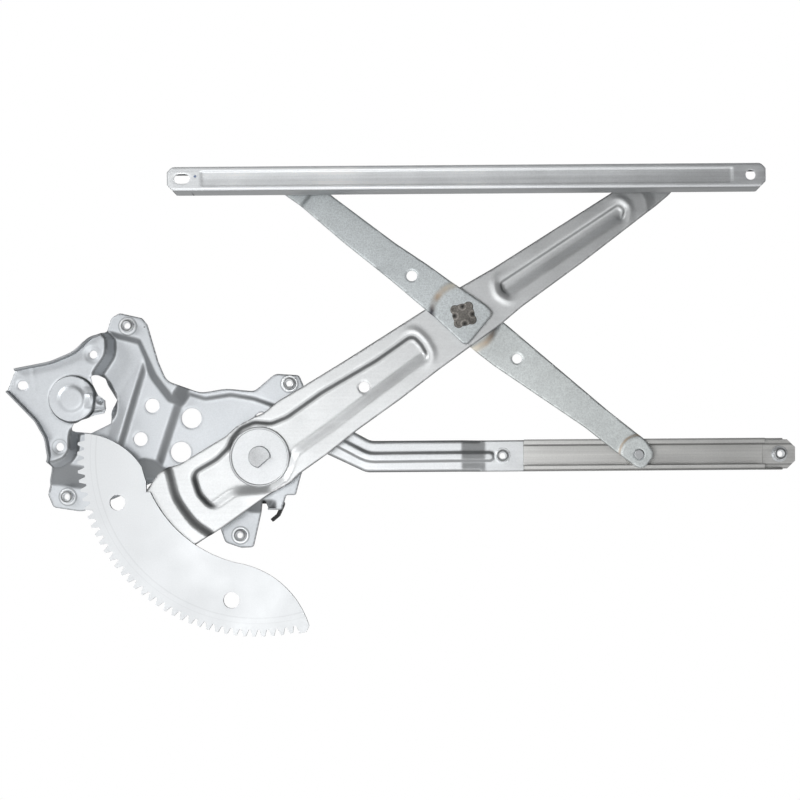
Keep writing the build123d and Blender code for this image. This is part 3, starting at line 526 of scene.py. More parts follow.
PINION_WINDOW = rounded_line(
    [(-140.2, 68.5), (-136.5, 70.8), (-131.5, 68.0), (-121.8, 49.7), (-127.5, 29.5), (-144.2, 21.5),
     (-157.6, 22.6), (-155.0, 28.5), (-137.0, 36.0), (-129.0, 37.5), (-127.2, 42.0), (-127.2, 48.0),
     (-134.0, 53.0), (-138.3, 61.0)], 1.0,
)
crease_line = [(-189.0, 76.0), (-185.5, 58.0)]
MOTOR_SCREWS = [(-137.7, 87.2), (-166.5, 9.4)]
NUTS_ON_PLATE = [(-111.0, 112.3), (25.5, 63.0), (-170.2, -32.8), (-20.0, -67.5)]
NUT_HOLE = 3.3
PLATE_HOLES = (
    [((0.0, 0.0), 9.5), ((0.3, 33.9), 5.0), ((-92.6, 45.0), 6.2), ((-102.8, 16.3), 6.0),
     ((-59.7, 34.3), 8.7), ((-69.2, 5.1), 8.9)]
    + [(spot, 3.5) for spot in MOTOR_SCREWS] + [(spot, NUT_HOLE) for spot in NUTS_ON_PLATE]
)


def plate_height(p):
    """Front of the base plate: the highest of its levels, held under the slope at its foot."""
    floor_gap = inner(p, floor_line)
    h = lift(np.full(len(p), -50.0), inner(p, whole_plate), FLOOR, FLOOR_LEAN)
    h = lift(h, inner(p, middle_floor_line), MIDDLE_FLOOR, BAND_LEAN)
    h = lift(h, inner(p, motor_floor_line), MOTOR_FLOOR, BAND_LEAN)
    ramp = np.clip(inner(p, ramp_line) / RAMP_LENGTH, 0, 1)
    h = h + RAMP_RISE * ramp * np.clip(inner(p, motor_floor_line) / 2 + 1, 0, 1)
    foot = (FLOOR - PLATE_SHEET) * tan(radians(SLOPE_LEAN))
    slope = PLATE_SHEET + np.maximum(0, floor_gap + foot) / tan(radians(SLOPE_LEAN))
    h = np.maximum(np.minimum(h, slope), PLATE_SHEET)
    h = lift(h, inner(p, top_rim_line), TOP_RIM, RIM_LEAN)
    h = lift(h, inner(p, side_rim_line), SIDE_RIM, RIM_LEAN)
    pad_gap = edge_gap(p, motor_pad_line)[0]
    h = lift(h, pad_gap, MOTOR_PAD, PAD_LEAN)
    for spot in MOTOR_SCREWS:
        reach = np.hypot(*(p - spot).T)
        h = h - SEAT_DROP * np.clip((SEAT_RADIUS - reach) / SEAT_WALL, 0, 1) * (pad_gap > 0)
    return h - bead(run_gap(p, crease_line), 0, CREASE_HALF, CREASE_DEPTH)


# The dome's sheet reaches 0.7 mm past its wall and is open towards the window
dome_outline = np.concatenate([
    circle_loop(DOME_AT, 20.3, count=120)[10:110], [(-127.3, 40.3), (-127.3, 55.4)],
])
plate_pressing = pressed_sheet(
    "base_plate_pressing", plate_outline,
    [circle_loop(spot, radius) for spot, radius in PLATE_HOLES]
    + [PINION_WINDOW, dome_outline, circle_loop((-197.3, 61.5), 3.7, wide=1.8)],
    plate_height, PLATE_SHEET, pitch=0.95, soft=1.05, lowest=0.0,
)

# %% [markdown]
# The dome over the pinion is drawn with a nearly upright wall, so its own sheet
# has a grid less than half as wide as the plate's. Its boss runs out to the
# window in a short neck, which holds the end of the pinion's shaft.

# %% Dome
DOME_RADIUS, DOME_RISE, DOME_WALL, DOME_SINK = 19.6, 5.0, 0.7, 0.3
BOSS_RADIUS, BOSS_RISE, BOSS_SOFT = 10.4, 1.5, 1.6
NECK_HALF, NECK_RISE, NECK_START, NECK_LOW = 6.3, 2.6, 11.0, 1.6
SHOULDER_AT, SHOULDER_DROP, SHOULDER_HALF = 17.0, 1.8, 5.0
NOTCH_AT, NOTCH_DROP, NOTCH_HALVES = (23.5, -1.5), 3.4, (2.2, 2.4)
THINNEST_WALL = 0.8


def dome_height(p):
    """Depth of the dome's front: wall, flat ring, soft boss and a round-backed neck.

    The boss rises by a tanh of the distance to its edge, the neck is half an
    ellipse across, and the notch at its end is a bell curve both ways.
    """
    along, up = (p - DOME_AT).T
    reach = np.hypot(along, up)
    wall = MOTOR_PAD - DOME_SINK + DOME_RISE * np.clip((DOME_RADIUS - reach) / DOME_WALL, 0, 1)
    boss = BOSS_RISE * 0.5 * (1 + np.tanh((BOSS_RADIUS - reach) / BOSS_SOFT))
    across = (up + NECK_LOW) / NECK_HALF
    neck = NECK_RISE * np.sqrt(np.clip(1 - across**2, 0, 1)) * np.clip((along - NECK_START) / 5, 0, 1)
    shoulder = bead(along, SHOULDER_AT, SHOULDER_HALF, SHOULDER_DROP) * np.clip(np.abs(across) - 0.9, 0, 1)
    notch = bead(along, NOTCH_AT[0], NOTCH_HALVES[0], NOTCH_DROP)
    notch = notch * bead(up, NOTCH_AT[1], NOTCH_HALVES[1], 1)
    return wall + boss + neck - shoulder - notch


def dome_faces(flat, rim):
    """Front: the dome's depth. Back: a sheet behind it, but never behind the pad's own back."""
    depth = dome_height(flat)
    back = np.maximum(depth, MOTOR_PAD) - PLATE_SHEET
    x, z = flat.T
    reach = np.hypot(*(flat - DOME_AT).T)
    # A band on the dome's wall, where the finish paints shade
    steep = np.clip(1 - np.abs(reach - DOME_RADIUS + 0.3) / 0.8, 0, 1)
    back = np.minimum(back, depth - THINNEST_WALL)
    return np.stack([x, -depth, z], 1), np.stack([x, -back, z], 1), steep


dome = cut_sheet(
    "motor_dome", flat_grid(dome_outline, 0.42, 0.42), dome_outline, [PINION_WINDOW], dome_faces, sharp=50,
)

# %% [markdown]
# Two edges of the motor pad are turned up into a lip, which stiffens them and
# shows as a dark line with a bright middle; the finish also darkens each strip
# all over, a painted shade. The upper one keeps its height and drops at its
# far end; the lower one follows the pressing down to the panel. The tab that
# holds the spring is the same kind of strip.

# %% Edge lips and the spring's tab
LIP_HALF = 0.95


def lip_path(corners, radii):
    """Even points 1.5 mm apart along an edge, and how far along each one is, from 0 to 1."""
    path = rounded_line(corners, radii, closed=False, step=radians(6))
    run = np.concatenate([[0], np.cumsum(np.linalg.norm(np.diff(path, axis=0), axis=1))])
    even = np.arange(0, run[-1], 1.5)
    path = np.stack([np.interp(even, run, path[:, k]) for k in (0, 1)], 1)
    return path, even / even[-1]


upper_path, share = lip_path(
    [(-202.6, 74.4), (-172.8, 80.0), (-152.4, 88.4), (-139.4, 101.0), (-131.5, 103.8)], [0, 40, 30, 12, 0],
)
upper_lip = swept_strip(
    "upper_edge_lip", upper_path, np.interp(share, [0.8, 1], [35.5, 30.0]),
    np.interp(share, [0.8, 1], [43.0, 38.5]), LIP_HALF,
)
lower_path, _ = lip_path(
    [(-209.2, 56.2), (-185.2, 31.3), (-176.8, 16.5), (-174.4, 0.2), (-183.4, -17.8), (-186.4, -29.5)],
    [0, 12, 20, 12, 14, 0],
)
sheet_there = plate_height(lower_path)
lower_lip = swept_strip(
    "lower_edge_lip", lower_path, sheet_there - 1.5,
    sheet_there + np.interp(lower_path[:, 1], [-12, 4], [0.3, 6.0]), LIP_HALF,
)
tab_path = [(5.5, -44.5), (9.2, -44.5), (12.9, -44.5)]
tab = swept_strip("spring_tab", tab_path, [1.6] * 3, [13.0] * 3, LIP_HALF, rounding=0.5)

# %% [markdown]
# ## The main arm
# A long pressing with a deep channel round the pivot and a shorter one towards
# its tip. The upper wall of each is steep and dark, partly from painted shade
# in its finish; the lower one is drawn out softly and catches the light. A low
# ridge stands round the channels' ends. Its own first axis runs along the arm,
# from the pivot.

# %% Main arm
ARM_SHEET = 2.6
RAISED_ANGLE = 34.15
CRANK, MAIN_LENGTH = 212.0, 412.8
ARM_FRONT, ARM_RECESS, SHORT_RECESS, FLANGE_FRONT = 25.6, 5.0, 3.6, 31.0
UPPER_WALL, LOWER_WALL, SHORT_UPPER_WALL, SHORT_LOWER_WALL, FLANGE_LEAN = 30, 56, 28, 60, 45
# A ridge is given by its way from the channel, its width and its height; where it
# stands is given along the arm, with the reach to either side
LONG_RIDGE, SHORT_RIDGE = (4.2, 2.6, 0.9), (4.6, 2.4, 0.9)
LONG_END, SHORT_START, SHORT_END = (176, 12), (246, 11), (381, 10)
TIP_START, TIP_BEND_AT, TIP_BEND_RADIUS = 380, (366.0, 3.0), 30.5
TIP_DROP, TIP_RUN, TIP_RIDGE = 2.0, 9, (2, 1.8, 0.5)
SHAFT_HOLE, SHAFT_FLAT = 9.35, 50.0
arm_outline = rounded_line(
    [(-112.0, 24.0), (-78.0, 35.9), (-68.8, 36.5), (-58.8, 33.1), (-13.1, 30.6), (-1.5, 32.2),
     (15.1, 30.4), (25.0, 28.6), (40.7, 30.1), (64.4, 28.3), (108.0, 26.0), (223.6, 21.8),
     (257.0, 19.1), (371.8, 14.9), (426.8, 14.0), (426.8, -13.0), (400.8, -15.6), (322.3, -19.9),
     (257.9, -21.7), (234.9, -24.0), (169.1, -25.8), (127.1, -28.0), (79.8, -28.9), (49.4, -31.1),
     (20.4, -31.5), (8.7, -33.5), (-8.7, -31.4), (-60.0, -32.0), (-86.4, -31.5), (-112.0, -24.0)],
    [8, 3, 5, 12, 8, 10, 10, 12, 20, 60, 80, 40, 40, 60, 13, 12.5,
     20, 60, 40, 40, 80, 80, 60, 40, 14, 14, 14, 30, 3, 8],
)
channel_upper = [
    (-56.0, 22.3), (-31.3, 20.4), (-18.2, 22.7), (-9.7, 28.3), (1.1, 30.8), (13.9, 28.3),
    (25.6, 18.7), (39.4, 15.8), (74.9, 16.4), (129.3, 12.4), (168.0, 12.8),
]
channel_lower = [
    (168.7, -12.8), (104.1, -14.9), (66.4, -16.9), (28.0, -17.2), (19.5, -24.2), (9.0, -30.0),
    (-9.0, -30.0), (-19.0, -24.7), (-34.4, -15.8), (-59.3, -15.7),
]
channel_lower_radii = [60, 60, 12, 10, 12, 12, 10, 14]
channel_loop = rounded_line(
    channel_upper + [(170.0, 0.0)] + channel_lower + [(-62.0, 3.0)],
    [9, 20, 12, 10, 12, 10, 10, 20, 30, 30, 7, 10, 7] + channel_lower_radii + [10, 16],
)
channel_foot = rounded_line(channel_lower, [0] + channel_lower_radii + [0], closed=False)
short_channel_foot = [(256.0, -8.3), (366.0, -9.5)]
short_channel_loop = rounded_line(
    [(253.5, 6.5), (375.4, 4.3), (378.0, -3.2), (370.8, -9.6), (253.8, -8.2), (250.5, -1.0)],
    [3, 3, 4, 3, 3, 4],
)
flange_line = rounded_line(
    [(-72.2, 50.0), (-72.2, 33.9), (-80.8, 10.9), (-80.3, -15.2), (-72.1, -36.3), (-72.1, -50.0),
     (-160.0, -50.0), (-160.0, 50.0)],
    [0, 12, 40, 40, 12, 0, 0, 0],
)


def channel_fall(gap, p, foot, upper_wall, lower_wall, step):
    """How far a channel's wall has fallen: the lesser of a steep fall and one from its soft foot."""
    steep = gap / tan(radians(upper_wall))
    soft = run_gap(p, foot) / tan(radians(lower_wall)) + step
    return np.where(gap > 0, np.minimum(steep, soft), -1)


def arm_height(p):
    """Front of the arm: flange, two channels with unlike walls, and a lower tip."""
    along, across = p.T
    gap = edge_gap(p, channel_loop)[0]
    fall = channel_fall(gap, p, channel_foot, UPPER_WALL, LOWER_WALL, 0.2)
    h = sink(np.full(len(p), ARM_FRONT), fall, ARM_FRONT, ARM_RECESS)
    short = edge_gap(p, short_channel_loop)[0]
    fall = channel_fall(short, p, short_channel_foot, SHORT_UPPER_WALL, SHORT_LOWER_WALL, 0.1)
    h = sink(h, fall, ARM_FRONT, SHORT_RECESS)
    h = h + bead(-gap, *LONG_RIDGE) * bead(along, *LONG_END, 1)
    ends = bead(along, *SHORT_START, 1) + bead(along, *SHORT_END, 1)
    h = h + bead(-short, *SHORT_RIDGE) * np.minimum(ends, 1)
    h = lift(h, inner(p, flange_line), FLANGE_FRONT, FLANGE_LEAN)
    past = np.hypot(along - TIP_BEND_AT[0], across - TIP_BEND_AT[1]) - TIP_BEND_RADIUS
    past = past * (along > TIP_START)
    return h - TIP_DROP * np.clip(past / TIP_RUN, 0, 1) + bead(past, *TIP_RIDGE) * (past > 0)


# A round hole for the shaft, less the part beyond its flat
around_shaft = np.radians(np.arange(47, 314, 12) - SHAFT_FLAT - RAISED_ANGLE)
shaft_hole = SHAFT_HOLE * np.stack([np.cos(around_shaft), np.sin(around_shaft)], 1)
arm_holes = [((107.7, -1.3), 4.7), ((CRANK, 0), 8.05), ((MAIN_LENGTH, 0), 4.0)]
arm_pressing = pressed_sheet(
    "main_arm_pressing", arm_outline,
    [circle_loop(spot, radius) for spot, radius in arm_holes] + [shaft_hole],
    arm_height, ARM_SHEET, pitch=0.9, soft=1.15, turn=RAISED_ANGLE,
)

# %% [markdown]
# ## The equaliser arms
# Two flat halves, pinned together through the main arm. Each has a round pad
# that stands off its own plane, pressed hot, so its edge carries a brown heat
# tint.

# %% Equaliser arms
CENTRE = (CRANK * cos(radians(RAISED_ANGLE)), CRANK * sin(radians(RAISED_ANGLE)))
LOWER_LINK = 191.5
UPPER_LINK = LOWER_LINK * (MAIN_LENGTH - CRANK) / CRANK
LINK_SWEEP = asin(CENTRE[1] / LOWER_LINK)
RAIL_PIN_AT = (CENTRE[0] + LOWER_LINK * cos(LINK_SWEEP), 0.0)
UPPER_TURN, LOWER_TURN = 180 - degrees(LINK_SWEEP), -degrees(LINK_SWEEP)
UPPER_FRONT, LOWER_FRONT = 29.8, 16.8
PAD_RADIUS, UPPER_PAD_RISE, LOWER_PAD_RISE = 24.6, 2.2, 4.2
END_PAD_RADIUS, END_PAD_RISE = 15.0, 1.5
UPPER_PAD_LEAN, LOWER_PAD_LEAN, END_PAD_LEAN = 70, 58, 62
RAIL_END, RAIL_END_RUN, RAIL_END_DROP = 17, 2.6, 1.2
upper_arm_outline = rounded_line(
    [(-19.0, -17.2), (-9.2, -18.2), (17.9, -16.4), (49.9, -15.2), (84.4, -12.6),
     (UPPER_LINK - 32.7, -11.2), (UPPER_LINK + 13.0, -12.0), (UPPER_LINK + 13.0, 13.4),
     (UPPER_LINK - 13.1, 11.8), (UPPER_LINK - 62.0, 13.9), (67.0, 14.5),
     (19.1, 16.4), (-14.0, 19.5), (-18.0, 17.8)],
    [4, 8, 30, 40, 40, 40, 12, 12, 20, 40, 60, 40, 3, 3],
)
lower_arm_outline = rounded_line(
    [(-17.0, 17.0), (31.1, 18.0), (LOWER_LINK - 42.8, 13.4), (LOWER_LINK - 3.8, 13.3),
     (LOWER_LINK + 10.9, 9.0), (LOWER_LINK + 10.9, -9.5), (LOWER_LINK - 6.5, -10.2),
     (LOWER_LINK - 50.6, -10.1), (46.5, -16.5), (-17.0, -16.7)],
    [10, 60, 60, 20, 7, 7, 20, 60, 60, 10],
)


def upper_arm_height(p):
    """Flat, with the round pad at the centre raised and the rail's end a step lower."""
    step = np.clip((p[:, 0] - UPPER_LINK + RAIL_END) / RAIL_END_RUN, 0, 1)
    h = UPPER_FRONT - RAIL_END_DROP * step
    return lift(h, PAD_RADIUS - np.hypot(*p.T), UPPER_FRONT + UPPER_PAD_RISE, UPPER_PAD_LEAN)


def lower_arm_height(p):
    """Flat, with a round pad at the centre and a smaller one on the roller's pin."""
    h = lift(LOWER_FRONT, PAD_RADIUS - np.hypot(*p.T), LOWER_FRONT + LOWER_PAD_RISE, LOWER_PAD_LEAN)
    reach = np.hypot(p[:, 0] - LOWER_LINK, p[:, 1])
    return lift(h, END_PAD_RADIUS - reach, LOWER_FRONT + END_PAD_RISE, END_PAD_LEAN)


upper_arm_pressing = pressed_sheet(
    "upper_equaliser_pressing", upper_arm_outline,
    [circle_loop((55.3, 0.6), 4.6), circle_loop((0, 0), 6.0), circle_loop((UPPER_LINK, 0), 4.0)],
    upper_arm_height, ARM_SHEET, pitch=0.8, soft=0.9, turn=UPPER_TURN, spot=CENTRE,
)
lower_arm_pressing = pressed_sheet(
    "lower_equaliser_pressing", lower_arm_outline,
    [circle_loop((58.3, 0.5), 4.2), circle_loop((0, 0), 6.0), circle_loop((LOWER_LINK, 0), 4.0)],
    lower_arm_height, ARM_SHEET, pitch=0.8, soft=0.9, turn=LOWER_TURN, spot=CENTRE,
)

# %% [markdown]
# ## The strap to the lower rail
# A strip with a bead down its middle, which bends with it and runs on over the
# step to the pad where it is screwed to the door. Its edges are turned down.

# %% Rail strap
STRAP_FRONT, STRAP_HALF = 11.0, 13.6
STRAP_STEP = (173.5, 193.4)
STRAP_SCREW = (208.6, 0.0)
BEAD_RISE, BEAD_HALF, BEAD_WALL = 2.3, 4.3, 1.3
EDGE_DROP, EDGE_WIDE, EDGE_STOP = 2.0, 2.6, 4
strap_outline = rounded_line(
    [(30.0, 52.0), (44.0, 43.0), (82.1, 20.4), (94.5, STRAP_HALF), (243.0, STRAP_HALF),
     (243.0, -STRAP_HALF), (90.5, -STRAP_HALF), (57.5, 2.0), (18.0, 20.0), (14.0, 32.0)],
    [3, 12, 12, 14, 2, 2, 14, 14, 4, 4],
)
bead_run = rounded_line([(44.0, 24.5), (92.0, -1.0), (197.5, -0.5)], [0, 24, 0], closed=False)


def strap_height(p):
    """Flat, then down the step to the pad; a flat-topped bead on both, and turned-down edges."""
    step = np.clip((STRAP_STEP[1] - p[:, 0]) / (STRAP_STEP[1] - STRAP_STEP[0]), 0, 1)
    h = PLATE_SHEET + (STRAP_FRONT - PLATE_SHEET) * step
    reach = run_gap(p, bead_run)
    h = h + BEAD_RISE * np.clip((BEAD_HALF - reach) / BEAD_WALL, 0, 1)
    edge = edge_gap(p, strap_outline)[0]
    turned = np.clip((EDGE_WIDE - edge) / EDGE_WIDE, 0, 1) ** 2
    return h - EDGE_DROP * turned * (p[:, 0] < STRAP_STEP[1] - EDGE_STOP)


strap_pressing = pressed_sheet(
    "rail_strap_pressing", strap_outline, [circle_loop(STRAP_SCREW, NUT_HOLE)],
    strap_height, PLATE_SHEET, pitch=0.75, soft=0.6, lowest=0.0,
)

# %% [markdown]
# ## The top rail
# A channel bent from a flat strip, so it is made like one: the strip is cut
# flat, with its clipped corners and its two holes, and then folded. The fold is
# a profile carried along the rail. A shallow panel is pressed into the web.

# %% Top rail
RAIL_HEIGHT = MAIN_LENGTH * sin(radians(RAISED_ANGLE))
TOP_FRONT, TOP_DEPTH, TOP_HALF, TOP_SHEET = 50.0, 15.0, 10.1, 1.6
TOP_FLARE = TOP_DEPTH * tan(radians(5))
TOP_START, TOP_END = -71.3, 428.3
TOP_BACK, LIP_GAP_HALF = TOP_FRONT - TOP_DEPTH, 6.2
PANEL_START, PANEL_END, PANEL_DROP, PANEL_TILT = -44.0, 401.0, 0.85, 0.4
PANEL_TOP, PANEL_FOOT, PANEL_WALL, PANEL_ENDS = 6.4, -6.6, 0.9, (2.5, 1.5)
RIM_ROLL, NORMAL_STEP, END_MARGIN = 0.2, 0.35, 0.4
section = rounded_line(
    [(-LIP_GAP_HALF, TOP_BACK), (-TOP_HALF - TOP_FLARE, TOP_BACK), (-TOP_HALF, TOP_FRONT),
     (TOP_HALF, TOP_FRONT), (TOP_HALF + TOP_FLARE, TOP_BACK), (LIP_GAP_HALF, TOP_BACK)],
    [0, 2.2, 2.4, 2.4, 2.2, 0], closed=False, step=radians(10),
)
section_run = np.concatenate([[0], np.cumsum(np.linalg.norm(np.diff(section, axis=0), axis=1))])
section_run -= section_run[-1] / 2
REACH = section_run[-1]


def section_at(width):
    """Point of the section at a distance along it from its middle."""
    return np.stack([np.interp(width, section_run, section[:, k]) for k in (0, 1)], 1)


def in_door(x, place):
    """A section's point (up, depth) in the door's axes, with the rail along X."""
    return np.stack([x, -place[:, 1], RAIL_HEIGHT + place[:, 0]], 1)


def folded_rail(flat, rim):
    """Front: the profile at the strip's width. Back: a sheet's thickness along its normal.

    The panel is pressed in where the strip is the web, with soft ends and a
    floor that rises a little towards its lower side.
    """
    x, s = flat.T
    place = section_at(s)
    held = np.clip(s, END_MARGIN - REACH, REACH - END_MARGIN)
    along = section_at(held + NORMAL_STEP) - section_at(held - NORMAL_STEP)
    normal = np.stack([-along[:, 1], along[:, 0]], 1) / np.linalg.norm(along, axis=1)[:, None]
    length = np.clip((x - PANEL_START) / PANEL_ENDS[0], 0, 1)
    length = length * np.clip((PANEL_END - x) / PANEL_ENDS[1], 0, 1)
    low_wall = np.clip((s - PANEL_FOOT) / PANEL_WALL, 0, 1)
    drop = PANEL_DROP * np.clip((PANEL_TOP - s) / PANEL_WALL, 0, 1) * low_wall
    drop -= PANEL_TILT * np.clip((-0.5 - s) / 5, 0, 1) * low_wall
    place = place - normal * (drop * length + RIM_ROLL * rim)[:, None]
    # The bends at the web's edges, where the finish paints shade
    steep = np.clip((np.abs(s) - TOP_HALF + 0.4) / 0.6, 0, 1)
    return in_door(x, place), in_door(x, place - normal * TOP_SHEET), steep


# Half of an end's cut: how far in from the rail's end, and how far from its middle
half_cut = [(0.0, 5.5), (4.4, 10.1), (5.6, 24.0), (1.2, REACH)]
rail_outline = np.array(
    [(TOP_START + a, -b) for a, b in half_cut[::-1]] + [(TOP_START + a, b) for a, b in half_cut]
    + [(TOP_END - a, b) for a, b in half_cut[::-1]] + [(TOP_END - a, -b) for a, b in half_cut]
)
top_rail_sheet = cut_sheet(
    "top_rail_sheet", flat_grid(rail_outline, 1.25, 0.5), rail_outline,
    [circle_loop((-59.0, 0.0), 4.15, wide=4.9), circle_loop((415.8, 0.0), 4.25)], folded_rail, sharp=50,
)

# %% [markdown]
# ## Parts that keep their solid
# The gear sector, the lower rail, the weld nuts, the pivot's disc and two of
# the pins already have their right shape. A copy of each gets its loose
# triangles merged and its edges rounded a little, since no sheared or turned
# edge is a knife edge. The number is the width of that rounding.

# %% Softened copies


def softened(node, width, segments=2, sharp=35.0):
    """Copy of a CAD node: merged, its flat faces joined, and a small bevel on its edges."""
    mesh = NODES[node].data.copy()
    work = bmesh.new()
    work.from_mesh(mesh)
    bmesh.ops.remove_doubles(work, verts=work.verts, dist=1e-6)
    bmesh.ops.dissolve_limit(work, angle_limit=radians(1.0), verts=work.verts, edges=work.edges)
    work.to_mesh(mesh)
    work.free()
    # Faces turned from Y get a wall value, so the finish paints shade on them
    upright = np.array([1.0 - abs(face.normal.y) for face in mesh.polygons], np.float32)
    mesh.attributes.new("wall", "FLOAT", "FACE").data.foreach_set("value", upright)
    if "custom_normal" in mesh.attributes:
        mesh.attributes.remove(mesh.attributes["custom_normal"])
    mesh.materials.clear()
    mesh.polygons.foreach_set("use_smooth", np.ones(len(mesh.polygons), bool))
    mesh.set_sharp_from_angle(angle=radians(sharp))
    piece = bpy.data.objects.new(node + "_softened", mesh)
    scene.collection.objects.link(piece)
    bevel = piece.modifiers.new("edge rounding", "BEVEL")
    bevel.width = width * MM
    bevel.segments = segments
    bevel.limit_method = "ANGLE"
    bevel.angle_limit = radians(sharp)
    bevel.use_clamp_overlap = True
    print(piece.name, "faces", len(mesh.polygons))
    return piece


SOFTENED = {
    "sector_gear": (0.45, "main_arm"), "lower_rail": (0.8, "base"), "base_weld_nuts": (0.35, "base"),
    "rail_weld_nuts": (0.35, "base"), "pivot_disc": (0.4, "main_arm"),
    "centre_pin": (0.35, "equaliser"), "lower_roller_pin": (0.5, "equaliser"),
}
soft_copies = {node: softened(node, width) for node, (width, _) in SOFTENED.items()}

# %% [markdown]
# ## Zinc-plated steel
# Every pressing is zinc plated: a satin grey metal, faintly blue, with a fine
# grain, soft clouds where the plating is thicker, and faint streaks along the
# direction in which the sheet was rolled. One function makes all of them from
# a tone and a few strengths. All patterns read Object coordinates, except the
# painted shade at the sheared edge and on the walls, which the colour makes
# darker than the flats: each sheet keeps its distance to the edge and its
# steepness as attributes. The same function paints other shade and highlights
# into the colour too: dark rings and lines, and a falloff of light along a rail.

# %% Node helpers


def add_node(tree, kind, **values):
    """Adds a node; values name its inputs, or its own settings."""
    node = tree.nodes.new(kind)
    for key, value in values.items():
        name = key.replace("_", " ")
        if name in node.inputs:
            node.inputs[name].default_value = value
        else:
            setattr(node, key, value)
    return node


def gain(tree, source, low, high, start=0.3, end=0.7, kind="LINEAR"):
    """Reads a value between start and end as a factor between low and high."""
    node = add_node(tree, "ShaderNodeMapRange", To_Min=low, To_Max=high, From_Min=start, From_Max=end)
    node.interpolation_type = kind
    tree.links.new(source, node.inputs["Value"])
    return node.outputs[0]


def math_of(tree, operation, a, b=0.0):
    """One Math node; each side is a socket or a number."""
    node = add_node(tree, "ShaderNodeMath", operation=operation)
    for side, value in zip(node.inputs, (a, b)):
        if hasattr(value, "is_linked"):
            tree.links.new(value, side)
        else:
            side.default_value = value
    return node.outputs[0]


def times(tree, a, b):
    """Product of two factors."""
    return math_of(tree, "MULTIPLY", a, b)


def axis_of(tree, place, axis):
    """One coordinate of a place."""
    apart = add_node(tree, "ShaderNodeSeparateXYZ")
    tree.links.new(place, apart.inputs[0])
    return apart.outputs[axis]


def kept_value(tree, name):
    """Value that a mesh keeps at its points or faces."""
    node = add_node(tree, "ShaderNodeAttribute", attribute_name=name, attribute_type="GEOMETRY")
    return node.outputs["Fac"]


def noise(tree, place, scale, detail=3.0, stretch=None, turn=0.0):
    """Noise on Object coordinates, stretched along a direction where asked."""
    node = add_node(tree, "ShaderNodeTexNoise", Scale=scale, Detail=detail, Roughness=0.58)
    if stretch:
        mapping = add_node(tree, "ShaderNodeMapping", Rotation=(0, turn, 0), Scale=stretch)
        tree.links.new(place, mapping.inputs["Vector"])
        place = mapping.outputs[0]
    tree.links.new(place, node.inputs["Vector"])
    return node.outputs["Fac"]


def ring_at(tree, place, spot, radius, width):
    """1 on a circle about a spot of the door's plane, falling to 0 within a width.

    Gives the way from the spot as well, flat in the door's plane.
    """
    shift = add_node(tree, "ShaderNodeVectorMath", operation="SUBTRACT")
    shift.inputs[1].default_value = (spot[0] * MM, 0, spot[1] * MM)
    flat = add_node(tree, "ShaderNodeVectorMath", operation="MULTIPLY")
    flat.inputs[1].default_value = (1, 0, 1)
    length = add_node(tree, "ShaderNodeVectorMath", operation="LENGTH")
    tree.links.new(place, shift.inputs[0])
    tree.links.new(shift.outputs[0], flat.inputs[0])
    tree.links.new(flat.outputs[0], length.inputs[0])
    away = math_of(tree, "ABSOLUTE", math_of(tree, "SUBTRACT", length.outputs["Value"], radius * MM))
    return gain(tree, away, 1, 0, 0, width * MM, "SMOOTHSTEP"), flat.outputs[0]


def blend_colour(tree, factor, one, two):
    """Mix of two colours; each is a socket or a plain colour."""
    node = add_node(tree, "ShaderNodeMix", data_type="RGBA")
    tree.links.new(factor, node.inputs["Factor"])
    for side, value in ((node.inputs[6], one), (node.inputs[7], two)):
        if hasattr(value, "is_linked"):
            tree.links.new(value, side)
        else:
            side.default_value = (*value, 1)
    return node.outputs[2]


# %% Marks, tints and painted shade
EDGE_SHADE_SPAN = (0.2, 1.4)
TINT_SHADE_REACH = 20.0


def marked_and_shaded(tree, place, factor, edge=None, wall=None, wall_shade_span=(0.2, 0.8), rings=(), lines=(), light_falloff=None):
    """Factor times each mark; most of them are painted shade or a painted highlight.

    rings: (spot, radius, width, darkening), mostly painted shade on a ring, and a
    painted highlight where the darkening is below zero. lines: (height, width,
    darkening) along the part, painted shade along a rail's lips. The painted
    falloff of the light: (start, end, gain) along X. edge and wall: the gain at
    the cut edge and on a wall whose steepness is past its span, painted shade on both.
    """
    # Rings of painted shade, or of painted highlight where the darkening is below zero
    for spot, radius, width, depth in rings:
        ring = ring_at(tree, place, spot, radius, width)[0]
        factor = times(tree, factor, gain(tree, ring, 1, 1 - depth, 0, 1))
    # Lines of painted shade along the part
    for height, width, depth in lines:
        away = math_of(tree, "SUBTRACT", axis_of(tree, place, "Z"), height * MM)
        away = math_of(tree, "ABSOLUTE", away)
        factor = times(tree, factor, gain(tree, away, 1 - depth, 1, 0, width * MM, "SMOOTHSTEP"))
    # A painted falloff of the light along X
    if light_falloff:
        start, end, far_shade = light_falloff
        along = axis_of(tree, place, "X")
        factor = times(tree, factor, gain(tree, along, 1, far_shade, start * MM, end * MM, "SMOOTHSTEP"))
    # Painted shade at the cut edge and on steep walls
    if edge:
        factor = times(tree, factor, gain(tree, kept_value(tree, "edge"), edge, 1, *EDGE_SHADE_SPAN))
    if wall:
        factor = times(tree, factor, gain(tree, kept_value(tree, "wall"), 1, wall, *wall_shade_span))
    return factor


